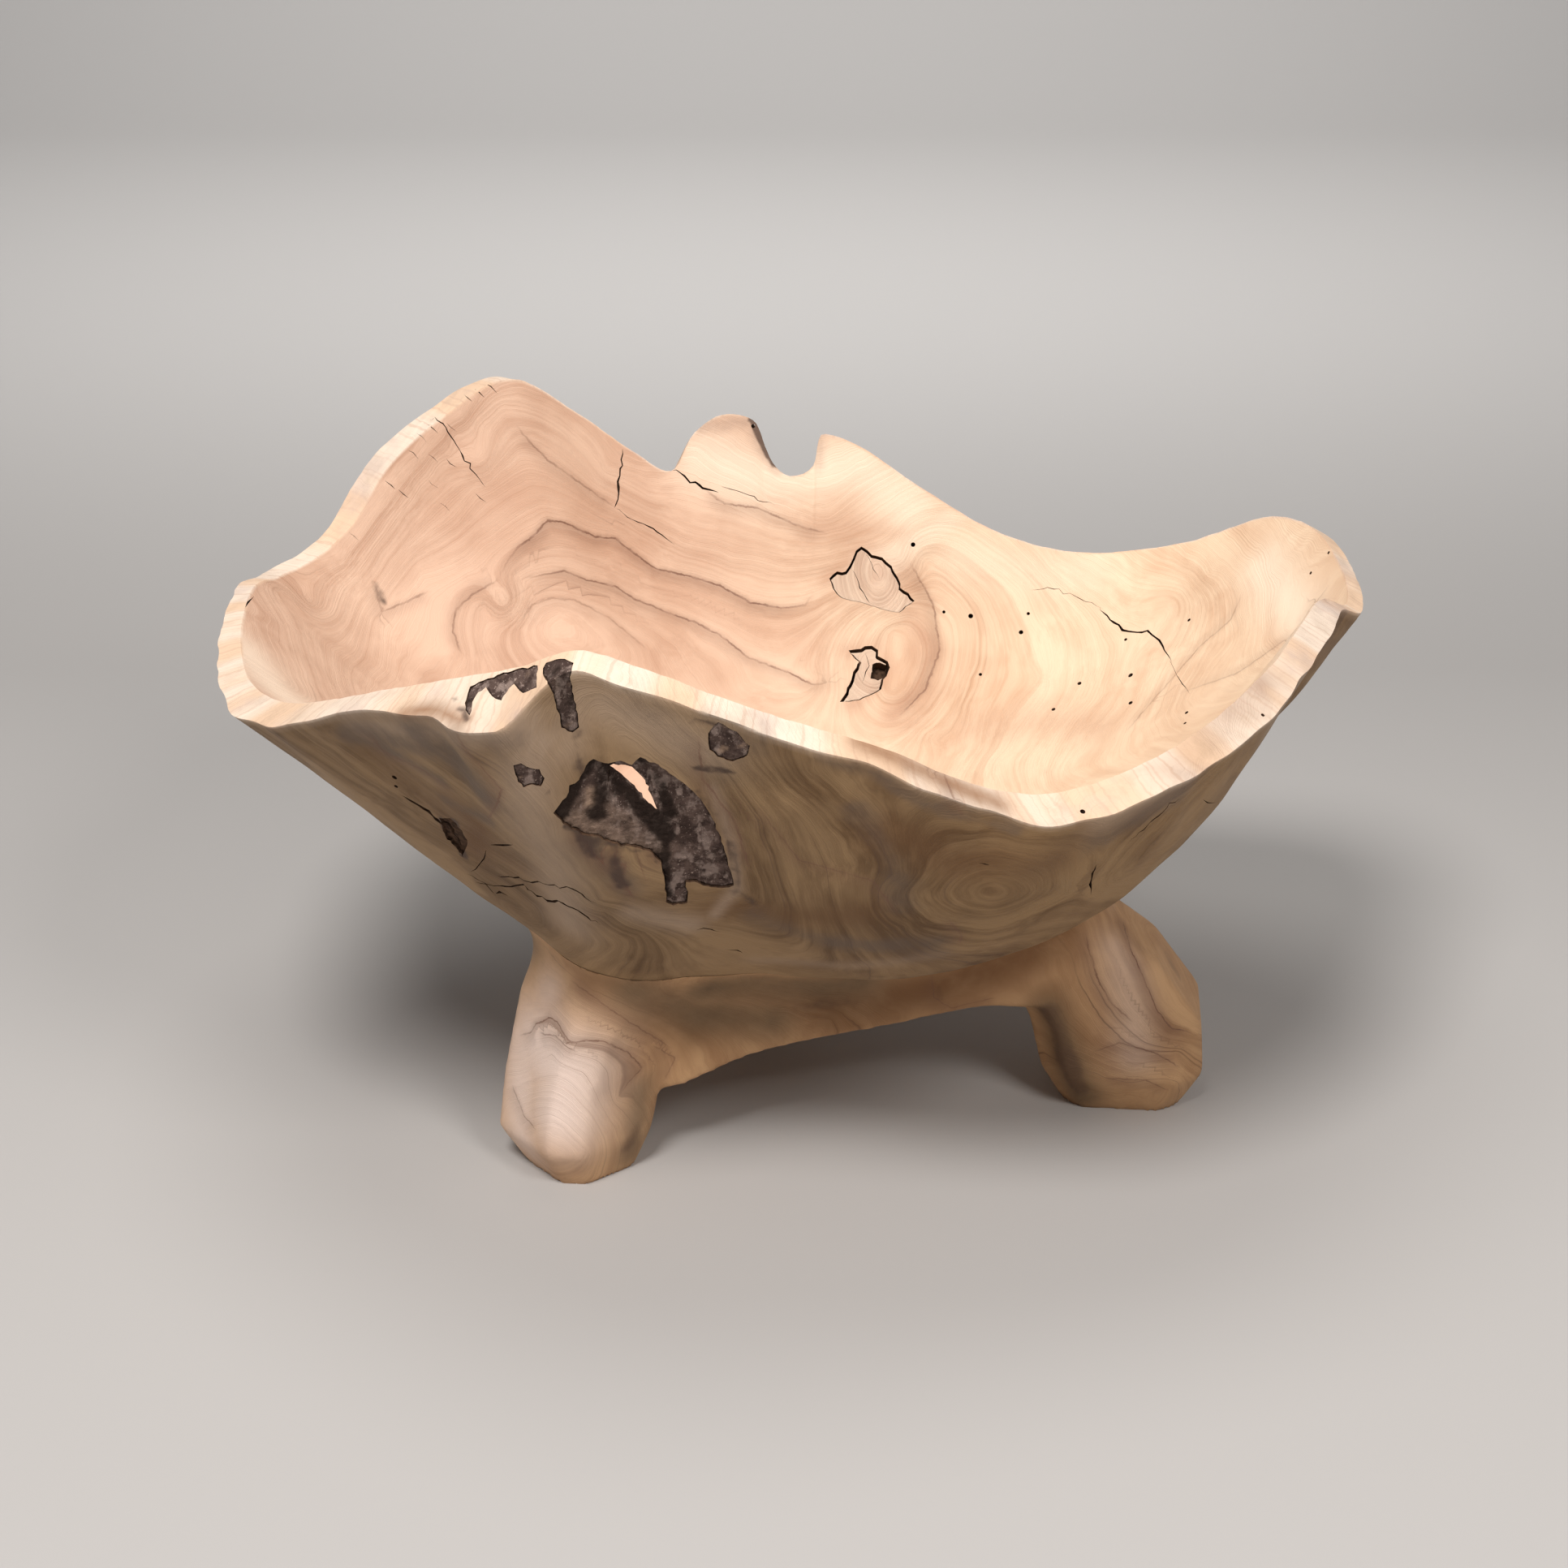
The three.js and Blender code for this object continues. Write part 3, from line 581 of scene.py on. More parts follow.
# Grey weathering, and painted shade in the hollow below the lit facet at the front left.
weathering_and_shade = ramp((cloud - 0.5) * 1.2 + weathering_and_shade, 0.15, 0.9) * ramp(mottle, 0.2, 0.6, 0.4, 0.75)
colour = blend(weathering_and_shade, colour, blend(inside, (0.15, 0.105, 0.078, 1), (0.42, 0.29, 0.22, 1)))
colour = lined(colour)
stain_and_shade = ramp((cloud - 0.5) * 1.3 + (mottle - 0.5) * 0.6 + stain_and_shade, 0.35, 0.72)
colour = blend(stain_and_shade * 0.86, colour, (0.075, 0.045, 0.034, 1))
connect(shader, {"Base Color": colour, "Normal": raised(mottle * 0.6 + wood["Height"], 0.00022, 0.7)})
basin.data.materials.append(teak)

# Near-black walls of the cracks, pockets and insect holes: torn dark wood, darkened further as painted
# shade in these recesses
split, tree, shader = new_finish("dark_split_wood_and_shade", 0.9, 0.1)
crevice_mottle = ramp(noise_of(signal("ShaderNodeTexCoord", "Object"), 400, 3, 0.6), 0.3, 0.7)
connect(shader, {"Base Color": blend(crevice_mottle, (0.035, 0.020, 0.013, 1), (0.11, 0.062, 0.038, 1))})

# Cutting: the cutters of the cracks, gashes and pockets lie on the uncut wall, along
# pixels of the photograph
OUTLINE_SHAKE = 0.8
CUTTER_PROUD = 0.012


def strokes(text):
    """Strokes, each as its numbers and then the path of its points."""
    found = []
    for word in text.split():
        if "," in word:
            found[-1][-1] += path(word)
        elif found and not found[-1][-1]:
            found[-1].insert(-1, float(word))
        else:
            found.append([float(word), []])
    return found


def photo_ray(x, y):
    """The direction in which the camera sees a pixel of the photograph."""
    half = PHOTO_SIZE / 2
    across = view_right * (x - half) / FOCAL_PIXELS
    return Vector(view_forward + across - view_up * (y - half) / FOCAL_PIXELS).normalized()


def on_surface(pixels, surface=uncut, reach=0.1):
    """Points of a surface that the photograph's pixels show, with their normals.
    A pixel whose ray slips past the edge takes the nearest point at the usual distance."""
    rays = [photo_ray(x, y) for x, y in pixels]
    hits = [surface.ray_cast(Vector(eye), ray) for ray in rays]
    depths = [hit[3] for hit in hits if hit[0] is not None]
    usual = np.median(depths) if depths else VIEW_DISTANCE
    found = []
    for ray, (hit, normal, _, depth) in zip(rays, hits):
        if hit is None or abs(depth - usual) > reach:
            hit, normal, _, _ = surface.find_nearest(Vector(eye) + ray * usual)
        found.append((hit, normal))
    return np.array(found).transpose(1, 0, 2)


def finer(pixels, step, jitter=0.0, seed=0):
    """A polyline of pixels cut into short steps, shaken sideways a little."""
    pixels = np.array(pixels, float)
    found = []
    for a, b in zip(pixels[:-1], pixels[1:]):
        count = max(1, int(round(np.linalg.norm(b - a) / step)))
        found += [a + (b - a) * k / count for k in range(count)]
    found = np.array(found + [pixels[-1]])
    if jitter:
        shake = np.random.default_rng(seed).normal(0, jitter, found.shape)
        shake[[0, -1]] = 0
        found = found + shake
    return found


def closed_cutter(name, points, faces, finish=split):
    cutter = plain_mesh(name, points, faces)
    shell = bmesh.new()
    shell.from_mesh(cutter.data)
    bmesh.ops.recalc_face_normals(shell, faces=shell.faces)
    bmesh.ops.triangulate(shell, faces=shell.faces)
    if shell.calc_volume(signed=True) < 0:
        bmesh.ops.reverse_faces(shell, faces=shell.faces)
    shell.to_mesh(cutter.data)
    shell.free()
    cutter.data.materials.append(finish)
    return cutter


def blade(name, pixels, width, depth, seed=1):
    """A thin wedge along a crack, widest in its middle, dipping into the wood."""
    route, normals = on_surface(finer(pixels, 7, 1.2, seed))
    taper = np.clip(np.sin(np.pi * np.linspace(0, 1, len(route))), 0, 1) ** 0.5
    side = np.cross(np.gradient(route, axis=0), normals)
    side /= np.linalg.norm(side, axis=1, keepdims=True)
    roughly = 1 + 0.35 * np.random.default_rng(seed + 7).normal(0, 1, len(route)).clip(-1.5, 1.5)
    half = ((0.04 + width * taper * roughly) / 2000)[:, None]
    sink = ((0.15 + depth * taper) / 1000)[:, None]
    top = route + normals * 0.0006
    points = np.stack([top + side * half, top - side * half, route - normals * sink], axis=1).reshape(-1, 3)
    faces = [(0, 1, 2), tuple(len(points) - k for k in (1, 2, 3))]
    for i in range(len(route) - 1):
        for k in range(3):
            a, b = 3 * i + k, 3 * i + (k + 1) % 3
            faces.append((a, a + 3, b + 3, b))
    return closed_cutter(name, points, faces)


def prism(name, outline, top, bottom, finish=split):
    """A closed prism between two copies of an outline moved by two vectors."""
    count = len(outline)
    points = np.concatenate([outline + top, outline + bottom])
    faces = [tuple(range(count)), tuple(range(2 * count - 1, count - 1, -1))]
    faces += [(i, (i + 1) % count, count + (i + 1) % count, count + i) for i in range(count)]
    return closed_cutter(name, points, faces, finish)


def wall_outline(pixels, seed, grow=0.0, step=6):
    """An outline on the wall, pushed outwards by a distance in mm, and its mean normal."""
    ring = finer(list(pixels) + [pixels[0]], step, OUTLINE_SHAKE, seed)[:-1]
    outline, normals = on_surface(ring)
    out = normals.mean(axis=0)
    out /= np.linalg.norm(out)
    forward = np.roll(outline, -1, axis=0) - np.roll(outline, 1, axis=0)
    sideways = np.cross(forward, out)
    sideways /= np.linalg.norm(sideways, axis=1, keepdims=True)
    area = np.dot(np.cross(outline - outline.mean(axis=0), forward).sum(axis=0), out)
    return outline + sideways * np.sign(area) * grow / 1000, out


def pocket(name, pixels, depth, seed, grow=0.0, step=6, finish=split):
    """A prism through the wall's face, to a depth in mm."""
    outline, out = wall_outline(pixels, seed, grow, step)
    return prism(name, outline, out * CUTTER_PROUD, -out * depth / 1000, finish)


def baked(piece):
    """Turns a piece with modifiers into a plain mesh."""
    depsgraph = bpy.context.evaluated_depsgraph_get()
    result = bpy.data.meshes.new_from_object(piece.evaluated_get(depsgraph), depsgraph=depsgraph)
    piece.modifiers.clear()
    piece.data = result


def cut(piece, cutter, operation="DIFFERENCE"):
    modifier = piece.modifiers.new("cut", "BOOLEAN")
    modifier.operation = operation
    modifier.object = cutter
    modifier.solver = "MANIFOLD"
    modifier.material_mode = "TRANSFER"
    baked(piece)
    bpy.data.objects.remove(cutter)


# Cracks, each with its width and depth in mm and its path in the photograph
CRACKS = strokes("""
1.2 5 767,553 765,579 763,608 757,626
0.6 3 757,626 779,640 800,648 831,671
0.6 4 522,503 545,522 562,549 581,579 598,600
1.1 4 826,576 846,587 867,602 886,607
0.45 2 888,599 922,608 956,623
0.35 2 1270,727 1298,724 1325,736 1345,743 1359,750
1.1 5 1355,747 1367,762 1384,776 1415,778 1428,790 1444,818
0.4 3 1440,812 1456,842 1466,855
2.6 7 495,980 515,990 550,1018 562,1036 568,1050
1 4 612,1079 640,1082 670,1087 698,1093 735,1113
1.5 4 586,1087 622,1093 645,1092 668,1107 700,1115 740,1140
0.8 3 575,1077 592,1086 611,1104
0.6 2 599,1047 592,1066 580,1074
0.9 3 604,1041 632,1041
1.3 3 611,1101 626,1104
0.7 3 1389,1039 1410,1020 1432,999 1453,984
1.3 5 1351,1065 1344,1076 1345,1090 1344,1103
0.7 3 1338,1073 1345,1079
1 3 858,1146 874,1144 887,1148
0.9 3 894,1170 915,1174
0.6 2 1206,1063 1219,1066
0.6 2 1482,985 1498,989
1 3 302,749 307,743 313,735
""")
# The torn end of the widest crack, left of the hollow
GASH_END = path("541,1008 556,1008 568,1020 576,1040 570,1056 562,1044 551,1034")
GASH_DEPTH = 1.6
# Insect holes in the photograph, and their sizes in metres
HOLES = path("""
1125,671 1163,754 1196,759 1267,756 1258,779 1208,831 1387,788 1330,842 1393,832 1393,866 1298,874
1465,764 1462,878 1460,891 1615,706 1637,681 1556,881 1334,1000 486,958 488,969 928,525
""")
HOLE_RADIUS = 0.0011
HOLE_DEPTH = 0.007
# Short nicks of the adze across the left rim
NICKS = path("""
533,528 519,539 509,560 533,564 480,597 497,608 534,596 436,661 556,526 556,570 592,613 547,624
575,489 590,484 606,479
""")

for i, (width, depth, pixels) in enumerate(CRACKS):
    cut(basin, blade(f"crack_{i}", pixels, width, depth, i))

# Round cutters set on the wall by geometry nodes, one for each insect hole
GEOMETRY = "NodeSocketGeometry"
tree, given, result = new_group("insect_holes", {
    "Geometry": (GEOMETRY, None), "Radius": (NUMBER, HOLE_RADIUS), "Depth": (NUMBER, HOLE_DEPTH),
    "Finish": ("NodeSocketMaterial", None)}, {"Geometry": GEOMETRY}, "GeometryNodeTree")
bore = signal("GeometryNodeMeshCylinder", "Mesh", {
    "Vertices": 10, "Radius": given["Radius"], "Depth": given["Depth"]})
facing = signal("GeometryNodeInputNamedAttribute", "Attribute", {"Name": "out"}, data_type="FLOAT_VECTOR")
turned = signal("FunctionNodeAlignRotationToVector", "Rotation", {"Vector": facing}, axis="Z")
sizes = signal("FunctionNodeRandomValue", 1, {2: 0.7, 3: 1.25, "Seed": 4}, data_type="FLOAT")
spots = signal("GeometryNodeMeshToPoints", "Points", {"Mesh": given["Geometry"]})
bores = signal("GeometryNodeInstanceOnPoints", "Instances", {
    "Points": spots, "Instance": bore, "Rotation": turned, "Scale": sizes})
bores = signal("GeometryNodeRealizeInstances", 0, {"Geometry": bores})
bores = signal("GeometryNodeSetMaterial", 0, {"Geometry": bores, "Material": given["Finish"]})
connect(result, {"Geometry": bores})

hole_points, hole_normals = on_surface(HOLES, reach=1.0)
holes = plain_mesh("holes", hole_points, [])
facing_out = holes.data.attributes.new("out", "FLOAT_VECTOR", "POINT")
facing_out.data.foreach_set("vector", hole_normals.astype(np.float32).ravel())
boring = holes.modifiers.new("bores", "NODES")
boring.node_group = tree
boring_inputs = {"Radius": HOLE_RADIUS, "Depth": 2 * HOLE_DEPTH, "Finish": split}
for socket in tree.interface.items_tree:
    if socket.name in boring_inputs:
        boring[socket.identifier] = boring_inputs[socket.name]
baked(holes)
cut(basin, holes)
for i, (x, y) in enumerate(NICKS):
    cut(basin, blade(f"nick_{i}", [(x - 6, y - 5), (x + 7, y + 6)], 0.5, 0.8, i))
cut(basin, pocket("gash", GASH_END, GASH_DEPTH, 4, step=4))


# Encased knots: dead branch wood inside the right-back wall. Each has shrunk away from
# the wall all round, so a dark gap shows, and its own rings run across it.
# Each knot: its gap in mm and its outline
KNOTS = {
    "knot_upper": strokes("""0.9
1024,713 1031,706 1038,708 1047,701 1052,692 1057,680 1062,675 1073,685 1087,689 1097,699 1104,713
1109,725 1118,734 1124,741 1106,752 1090,750 1073,744 1055,740 1038,736 1029,724"""),
    "knot_lower": strokes("""1.25
1048,803 1061,802 1073,797 1079,803 1080,812 1092,817 1094,822 1087,836 1084,848 1068,857 1047,862
1038,865 1045,855 1050,838 1057,824 1061,815 1056,810"""),
}
KNOT_DEPTH = 9
POCKET_PLAY = 0.4
KNOT_SLIP = 0.75
RING_PITCH = 2600
ROT_PIT = path("1075,817 1085,814 1093,818 1095,824 1090,833 1082,837 1074,833")
ROT_DEPTH = 7
KNOT_FOLDS = {
    "knot_upper": strokes("0.7 3 1050,700 1060,722 1072,742 0.4 2 1066,680 1084,712"),
    "knot_lower": strokes("0.6 3 1066,803 1070,818 1062,840"),
}

knot_wood, tree, shader = new_finish("knot_wood", 0.6)
wood = placed(figure, {
    "Flow": attribute_of("flow"), "Light": (0.85, 0.66, 0.50, 1),
    "Dark": (0.52, 0.32, 0.22, 1), "Bands": 0.7, "Warp": 1.2, "Line Amount": 0.2})
connect(shader, {"Base Color": wood["Color"], "Normal": raised(wood["Height"], 0.0003, 0.8)})


def get_points(piece):
    points = np.empty(len(piece.data.vertices) * 3, np.float32)
    piece.data.vertices.foreach_get("co", points)
    return points.reshape(-1, 3).astype(float)


def set_points(piece, points):
    piece.data.vertices.foreach_set("co", points.astype(np.float32).ravel())
    piece.data.update()


def add_values(piece, values):
    for name, value in values.items():
        attribute = piece.data.attributes.new(name, "FLOAT", "POINT")
        attribute.data.foreach_set("value", np.asarray(value, np.float32))


def inlay(name, pixels, depth, gap, seed, finish):
    """Cuts a pocket into the basin and returns the plug of wood or bark that fills it."""
    cut(basin, pocket("pocket", pixels, depth + POCKET_PLAY, seed, gap))
    piece = new_object(name, blank.data.copy())
    piece.data.materials.append(finish)
    cut(piece, pocket("plug", pixels, depth, seed, finish=finish), "INTERSECT")
    return piece


for name, ((shrinkage, pixels),) in KNOTS.items():
    knot = inlay(name + "_wood", pixels, KNOT_DEPTH, shrinkage, 5, knot_wood)
    for i, (width, depth, fold) in enumerate(KNOT_FOLDS[name]):
        cut(knot, blade(f"fold_{i}", fold, width, depth))
    if name == "knot_lower":
        for piece in (knot, basin):
            cut(piece, pocket("pit", ROT_PIT, ROT_DEPTH, 8, step=4))
    points = get_points(knot) - [0, 0, KNOT_SLIP / 1000]
    set_points(knot, points)
    heart = points.mean(axis=0) + [0.004, 0, 0.012]
    add_values(knot, {"flow": np.linalg.norm((points - heart) * [1, 1, 0.45], axis=1) * RING_PITCH})
    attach(knot, "root")
    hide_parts(name)


# Ingrown bark: four dark patches in the front of the rim and wall, rough and granular,
# left where the root closed over its own bark. They lie a hair below the sanded wood.
# Each patch: its depth in mm, how worn and how sooty it is, and its outline
BARK_PATCHES = {
    "bark_rim": strokes("""
7 0.25 0.5
673,817 690,812 706,817 702,834 706,852 711,879 713,896 706,903 691,896 689,879 682,856 668,829"""),
    "bark_hook": strokes("""
4 0.3 0.35
662,820 660,847 644,854 633,843 617,863 606,858 599,847 588,854 581,870 578,881 573,876 575,861
579,847 595,838 620,829"""),
    "bark_small": strokes("""
4 0.7 0.2
633,943 642,941 653,948 664,948 670,959 667,970 657,967 646,970 639,963 635,954"""),
    "bark_oval": strokes("""
4 0.8 0.3
885,890 907,903 923,919 921,932 903,939 885,932 874,923 872,905"""),
}
BARK_VOXEL = 0.0007
BARK_GAP = 0.08
BARK_SINK = 0.12
BARK_ROUGHNESS = 0.45

bark, tree, shader = new_finish("bark", 0.92, 0.12)
place = signal("ShaderNodeTexCoord", "Object")
crumbs = noise_of(place, 800, 3, 0.7)
flakes = noise_of(place, 130, 4, 0.6)
drawn_out = signal("ShaderNodeMapping", 0, {"Vector": place, "Scale": (1, 1, 0.25)})
streak = noise_of(drawn_out, 210, 3, 0.6)
colour = blend(ramp(flakes, 0.35, 0.65), (0.055, 0.034, 0.028, 1), (0.15, 0.10, 0.083, 1))
colour = blend(ramp(streak, 0.48, 0.62), colour, (0.27, 0.20, 0.17, 1))
colour = blend(ramp(crumbs, 0.57, 0.72), colour, (0.40, 0.30, 0.25, 1))
colour = blend(attribute_of("ember") * ramp(flakes, 0.3, 0.6, 0.35, 1), colour, (0.25, 0.17, 0.125, 1))
char = (flakes - 0.5) * 1.4 + attribute_of("char")
colour = blend(ramp(char, 0.3, 0.75) * 0.93, colour, (0.020, 0.012, 0.009, 1))
colour = blend(attribute_of("worn"), colour, (0.46, 0.31, 0.215, 1))
connect(shader, {"Base Color": colour, "Normal": raised(flakes * 1.6 + crumbs, 0.0007, 1)})


def remeshed(piece, voxel, smoothing):
    remesh = piece.modifiers.new("even", "REMESH")
    remesh.mode = "VOXEL"
    remesh.voxel_size = voxel
    remesh.use_smooth_shade = True
    piece.modifiers.new("soften", "SMOOTH").iterations = smoothing
    baked(piece)


def shaped(piece, push):
    """Moves a piece's outer face: push(points) is how far, in mm, along the wall's normal."""
    points = get_points(piece)
    found = [uncut.find_nearest(Vector(p)) for p in points]
    normals = np.array([hit[1] for hit in found])
    sunk = np.array([hit[3] for hit in found]) * 1000
    surface = np.clip(1 - sunk / 3.0, 0, 1)
    set_points(piece, points + normals * (push(points * 1000) * surface)[:, None] / 1000)


for name, ((depth, wear, soot, pixels),) in BARK_PATCHES.items():
    patch = inlay(name + "_crust", pixels, depth, BARK_GAP, 11, bark)
    remeshed(patch, BARK_VOXEL, 2)
    shaped(patch, lambda p: -BARK_SINK - BARK_ROUGHNESS * np.abs(noise_at(p, 3.5, 3)))
    worn = np.clip(noise_at(get_points(patch) * 1000, 6.0, 3) * 1.6 - 0.35, 0, 0.8)
    add_values(patch, {"worn": worn * wear, "char": np.full(len(worn), soot)})
    patch.data.shade_smooth()
    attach(patch, "root")
    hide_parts(name)


# Bark lining of the hollow: old bark under the front ridge where two stems grew together.
# It sinks towards a void that runs right through the wall, and a granular strap hangs
# down its right side.
LINING_OUTLINE = path("""
682,1002 698,982 703,969 716,956 726,938 731,934 744,941 764,938 779,942 790,933 815,946 841,964
863,984 881,1015 894,1048 904,1091 897,1094 883,1094 866,1090 856,1087 846,1087 847,1112 830,1116
821,1112 819,1085 815,1063 800,1048 777,1043 760,1041 738,1032 718,1028 700,1018 688,1008
""")
VOID_OUTLINE = path("751,943 765,941 779,945 795,961 802,979 811,998 800,989 784,971 769,957")
VOID_HEART = (778, 962)
VOID_FUNNEL = 3.8
VOID_FUNNEL_WIDTH = 13
LINING_DEPTH = 7
LINING_VOXEL = 0.0008
LINING_GAP = 0.08
LINING_SINK = 0.5
SLIT = path("746,942 750,960 747,979")
# A worn pale island, the brown flame under the cap, and the burnt edges round the void
LINING_PAINT = {
    "worn": strokes("0.99 1.8 727,976 726,992"),
    "ember": strokes("""
1 9 705,1012 750,1034 795,1048
0.7 5 745,1000 775,1018
"""),
    "char": strokes("""
1 5 728,936 708,968 692,1002
1 5 748,945 740,985 735,1005
1 6 752,960 775,985 808,1012 820,1030
1 4 766,938 792,948 815,975 826,1005
0.8 3 822,1010 819,1050 824,1105
0.6 4 806,1040 817,1062
"""),
}


def closest_on(lines, normals, points):
    """Distance, side and share along a polyline for each point."""
    starts, ends = lines[:-1], lines[1:]
    spans = ends - starts
    lengths = np.linalg.norm(spans, axis=1)
    share = np.einsum("psk,sk->ps", points[:, None] - starts[None], spans) / lengths ** 2
    share = np.clip(share, 0, 1)
    away = points[:, None] - (starts[None] + share[..., None] * spans[None])
    distance = np.linalg.norm(away, axis=2)
    nearest = distance.argmin(axis=1)
    pick = np.arange(len(points))
    side = np.cross(spans, normals[:-1])[nearest]
    sign = np.where(np.einsum("pk,pk->p", side, away[pick, nearest]) < 0, -1.0, 1.0)
    along = (np.concatenate([[0], np.cumsum(lengths)])[nearest]
             + share[pick, nearest] * lengths[nearest]) / lengths.sum()
    return distance[pick, nearest], sign, along


def painted(points, mask_strokes, surface=uncut):
    """A soft mask: each stroke is its strength, its half width in mm and its pixels."""
    mask = np.zeros(len(points))
    for strength, half_width, pixels in mask_strokes:
        route, normals = on_surface(pixels, surface)
        distance, _, _ = closest_on(route, normals, points)
        mask = np.maximum(mask, strength * np.exp(-(distance * 1000 / half_width) ** 2))
    return mask


def lining_push(points):
    near_void = np.exp(-(np.linalg.norm(points - heart * 1000, axis=1) / VOID_FUNNEL_WIDTH) ** 2)
    crust = np.abs(noise_at(points, 5.0, 3))
    ripple = np.abs(noise_at(points, 1.8))
    return -LINING_SINK - VOID_FUNNEL * near_void - 1.1 * crust - 0.4 * ripple


lining = inlay("bark_lining_crust", LINING_OUTLINE, LINING_DEPTH, LINING_GAP, 21, bark)
remeshed(lining, LINING_VOXEL, 2)
heart, _ = on_surface([VOID_HEART])
shaped(lining, lining_push)
ray = np.array(photo_ray(*VOID_HEART))
mouth, _ = on_surface(finer(VOID_OUTLINE + [VOID_OUTLINE[0]], 5, 0.7, 2)[:-1])
for piece in (lining, basin):
    cut(piece, prism("void", mouth, -ray * 0.03, ray * 0.05))
cut(lining, blade("slit", SLIT, 1.2, 5))
lining_masks = {name: painted(get_points(lining), paint) for name, paint in LINING_PAINT.items()}
lining_masks["worn"] = lining_masks["worn"].clip(0, 0.8)
add_values(lining, lining_masks)
lining.data.shade_smooth()
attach(lining, "root")
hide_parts("bark_lining")


# Figure of the basin: the flow of the grain, its drawn dark lines, its stains and weathering,
# and painted light and shade, laid on the carved and cut skin. Curves are followed across the
# visible walls from the photograph.
FLOW_CURVES = strokes("""
0 568,806 558,777 562,751 585,730 615,712 636,676 657,661 674,641 695,644 733,661 758,663 779,680
808,701 855,711 888,722 926,743 964,749 993,745
20 600,790 598,750 640,714 695,703 720,714 758,722 779,737 821,754 855,766 888,783 922,810 968,827
1002,844
32 640,773 653,747 678,737 707,739 749,760 800,802
40 676,770 690,758 710,772
-24 560,640 585,600 640,560 674,566 716,596 758,625 800,648 840,671 900,690 980,700
-45 520,600 560,540 620,500 680,520 740,570 800,610
-40 430,730 470,680 500,640
-70 380,740 420,690 470,620 520,560 570,510
-10 450,830 470,770 520,710
-60 330,760 325,800 350,840
-55 860,560 900,590 960,620 1020,640
60 1120,760 1150,800 1140,840 1100,880
75 1100,780 1112,810 1100,850
25 1140,690 1190,740 1210,800 1190,870 1150,910
-10 1170,660 1260,720 1300,790 1280,880 1230,940
-40 1300,690 1390,740 1420,800 1380,880 1320,950
-65 1460,680 1520,730 1520,790 1470,860
-85 1600,660 1620,710 1590,770
0 330,900 450,985 560,1060 650,1120
26 420,905 520,985 600,1040 700,1100 790,1150
48 500,900 580,960 640,1020 690,1070
70 560,900 620,930 672,985 690,1040 740,1110 800,1130
85 740,860 800,900 870,960 905,1040 920,1110
65 800,870 880,930 940,1010 965,1090 970,1150
42 900,920 985,1000 1030,1070 1040,1140
20 1000,950 1070,1010 1110,1080 1120,1140
-30 1178,1098 1223,1078 1268,1098 1223,1118 1178,1098
-42 1215,1098 1231,1098
-12 1133,1098 1170,1060 1223,1048 1290,1062 1313,1098
4 1130,1140 1223,1150 1300,1120 1360,1060
10 1150,1010 1260,1030 1360,1020 1430,970 1490,930
-14 1380,1075 1450,1000 1530,920 1600,840
""")
# Flow on the sides that the photograph doesn't show: value, then a point over the pole
HIDDEN_FLOW = strokes("""
-60 0,190,225
-30 60,170,205
-55 -90,175,255
-10 0,175,175
20 10,130,125
-20 -140,120,200
15 -120,90,140
-60 -150,155,260
10 130,120,160
35 100,90,120
-30 190,120,200
0 -200,20,170
40 -60,60,90
50 0,0,78
30 80,30,90
-30 -240,70,215
60 0,0,112
30 -60,-120,170
-10 0,-160,210
20 90,-120,175
""")
# Dark lines: strength, then the path
DRAWN_LINES = strokes("""
0.9 615,709 636,676 657,661 674,641 695,644 733,661 758,663 779,680 808,701 855,711 888,722 926,743
964,749 993,745 1002,731
0.75 640,714 695,703 720,714 758,722 779,737 821,754 855,766 888,783 922,810 968,827 1002,844
1021,840 1006,827
0.55 615,714 585,730 562,751 558,777 568,806
0.35 640,773 653,747 678,737 707,739 749,760 800,802
0.5 636,524 653,545 674,566 716,596 758,625
0.5 463,718 469,754 497,743 530,728
0.6 867,602 892,621 930,625 960,638 989,650 1019,657
0.6 1120,690 1150,745 1158,800 1140,850 1105,885
0.35 1531,730 1517,763 1479,796 1446,834 1385,904
0.35 1654,737 1621,741 1592,782 1526,829 1432,862
0.5 1139,923 1165,960 1187,1008
0.5 1169,1133 1184,1151 1184,1165
0.5 702,1207 766,1253 830,1293
0.45 930,990 985,1060 1075,1085 1110,1130
0.9 712,1020 718,1034 731,1051 750,1069 753,1080
0.9 761,1040 757,1069 770,1098
0.8 796,1034 807,1056 818,1070
0.7 772,1060 766,1082 781,1108
0.6 557,895 579,930 618,973 612,992 600,1012
0.5 455,900 470,925 520,948 560,975
0.6 860,905 866,960 905,1010 925,1075
""")
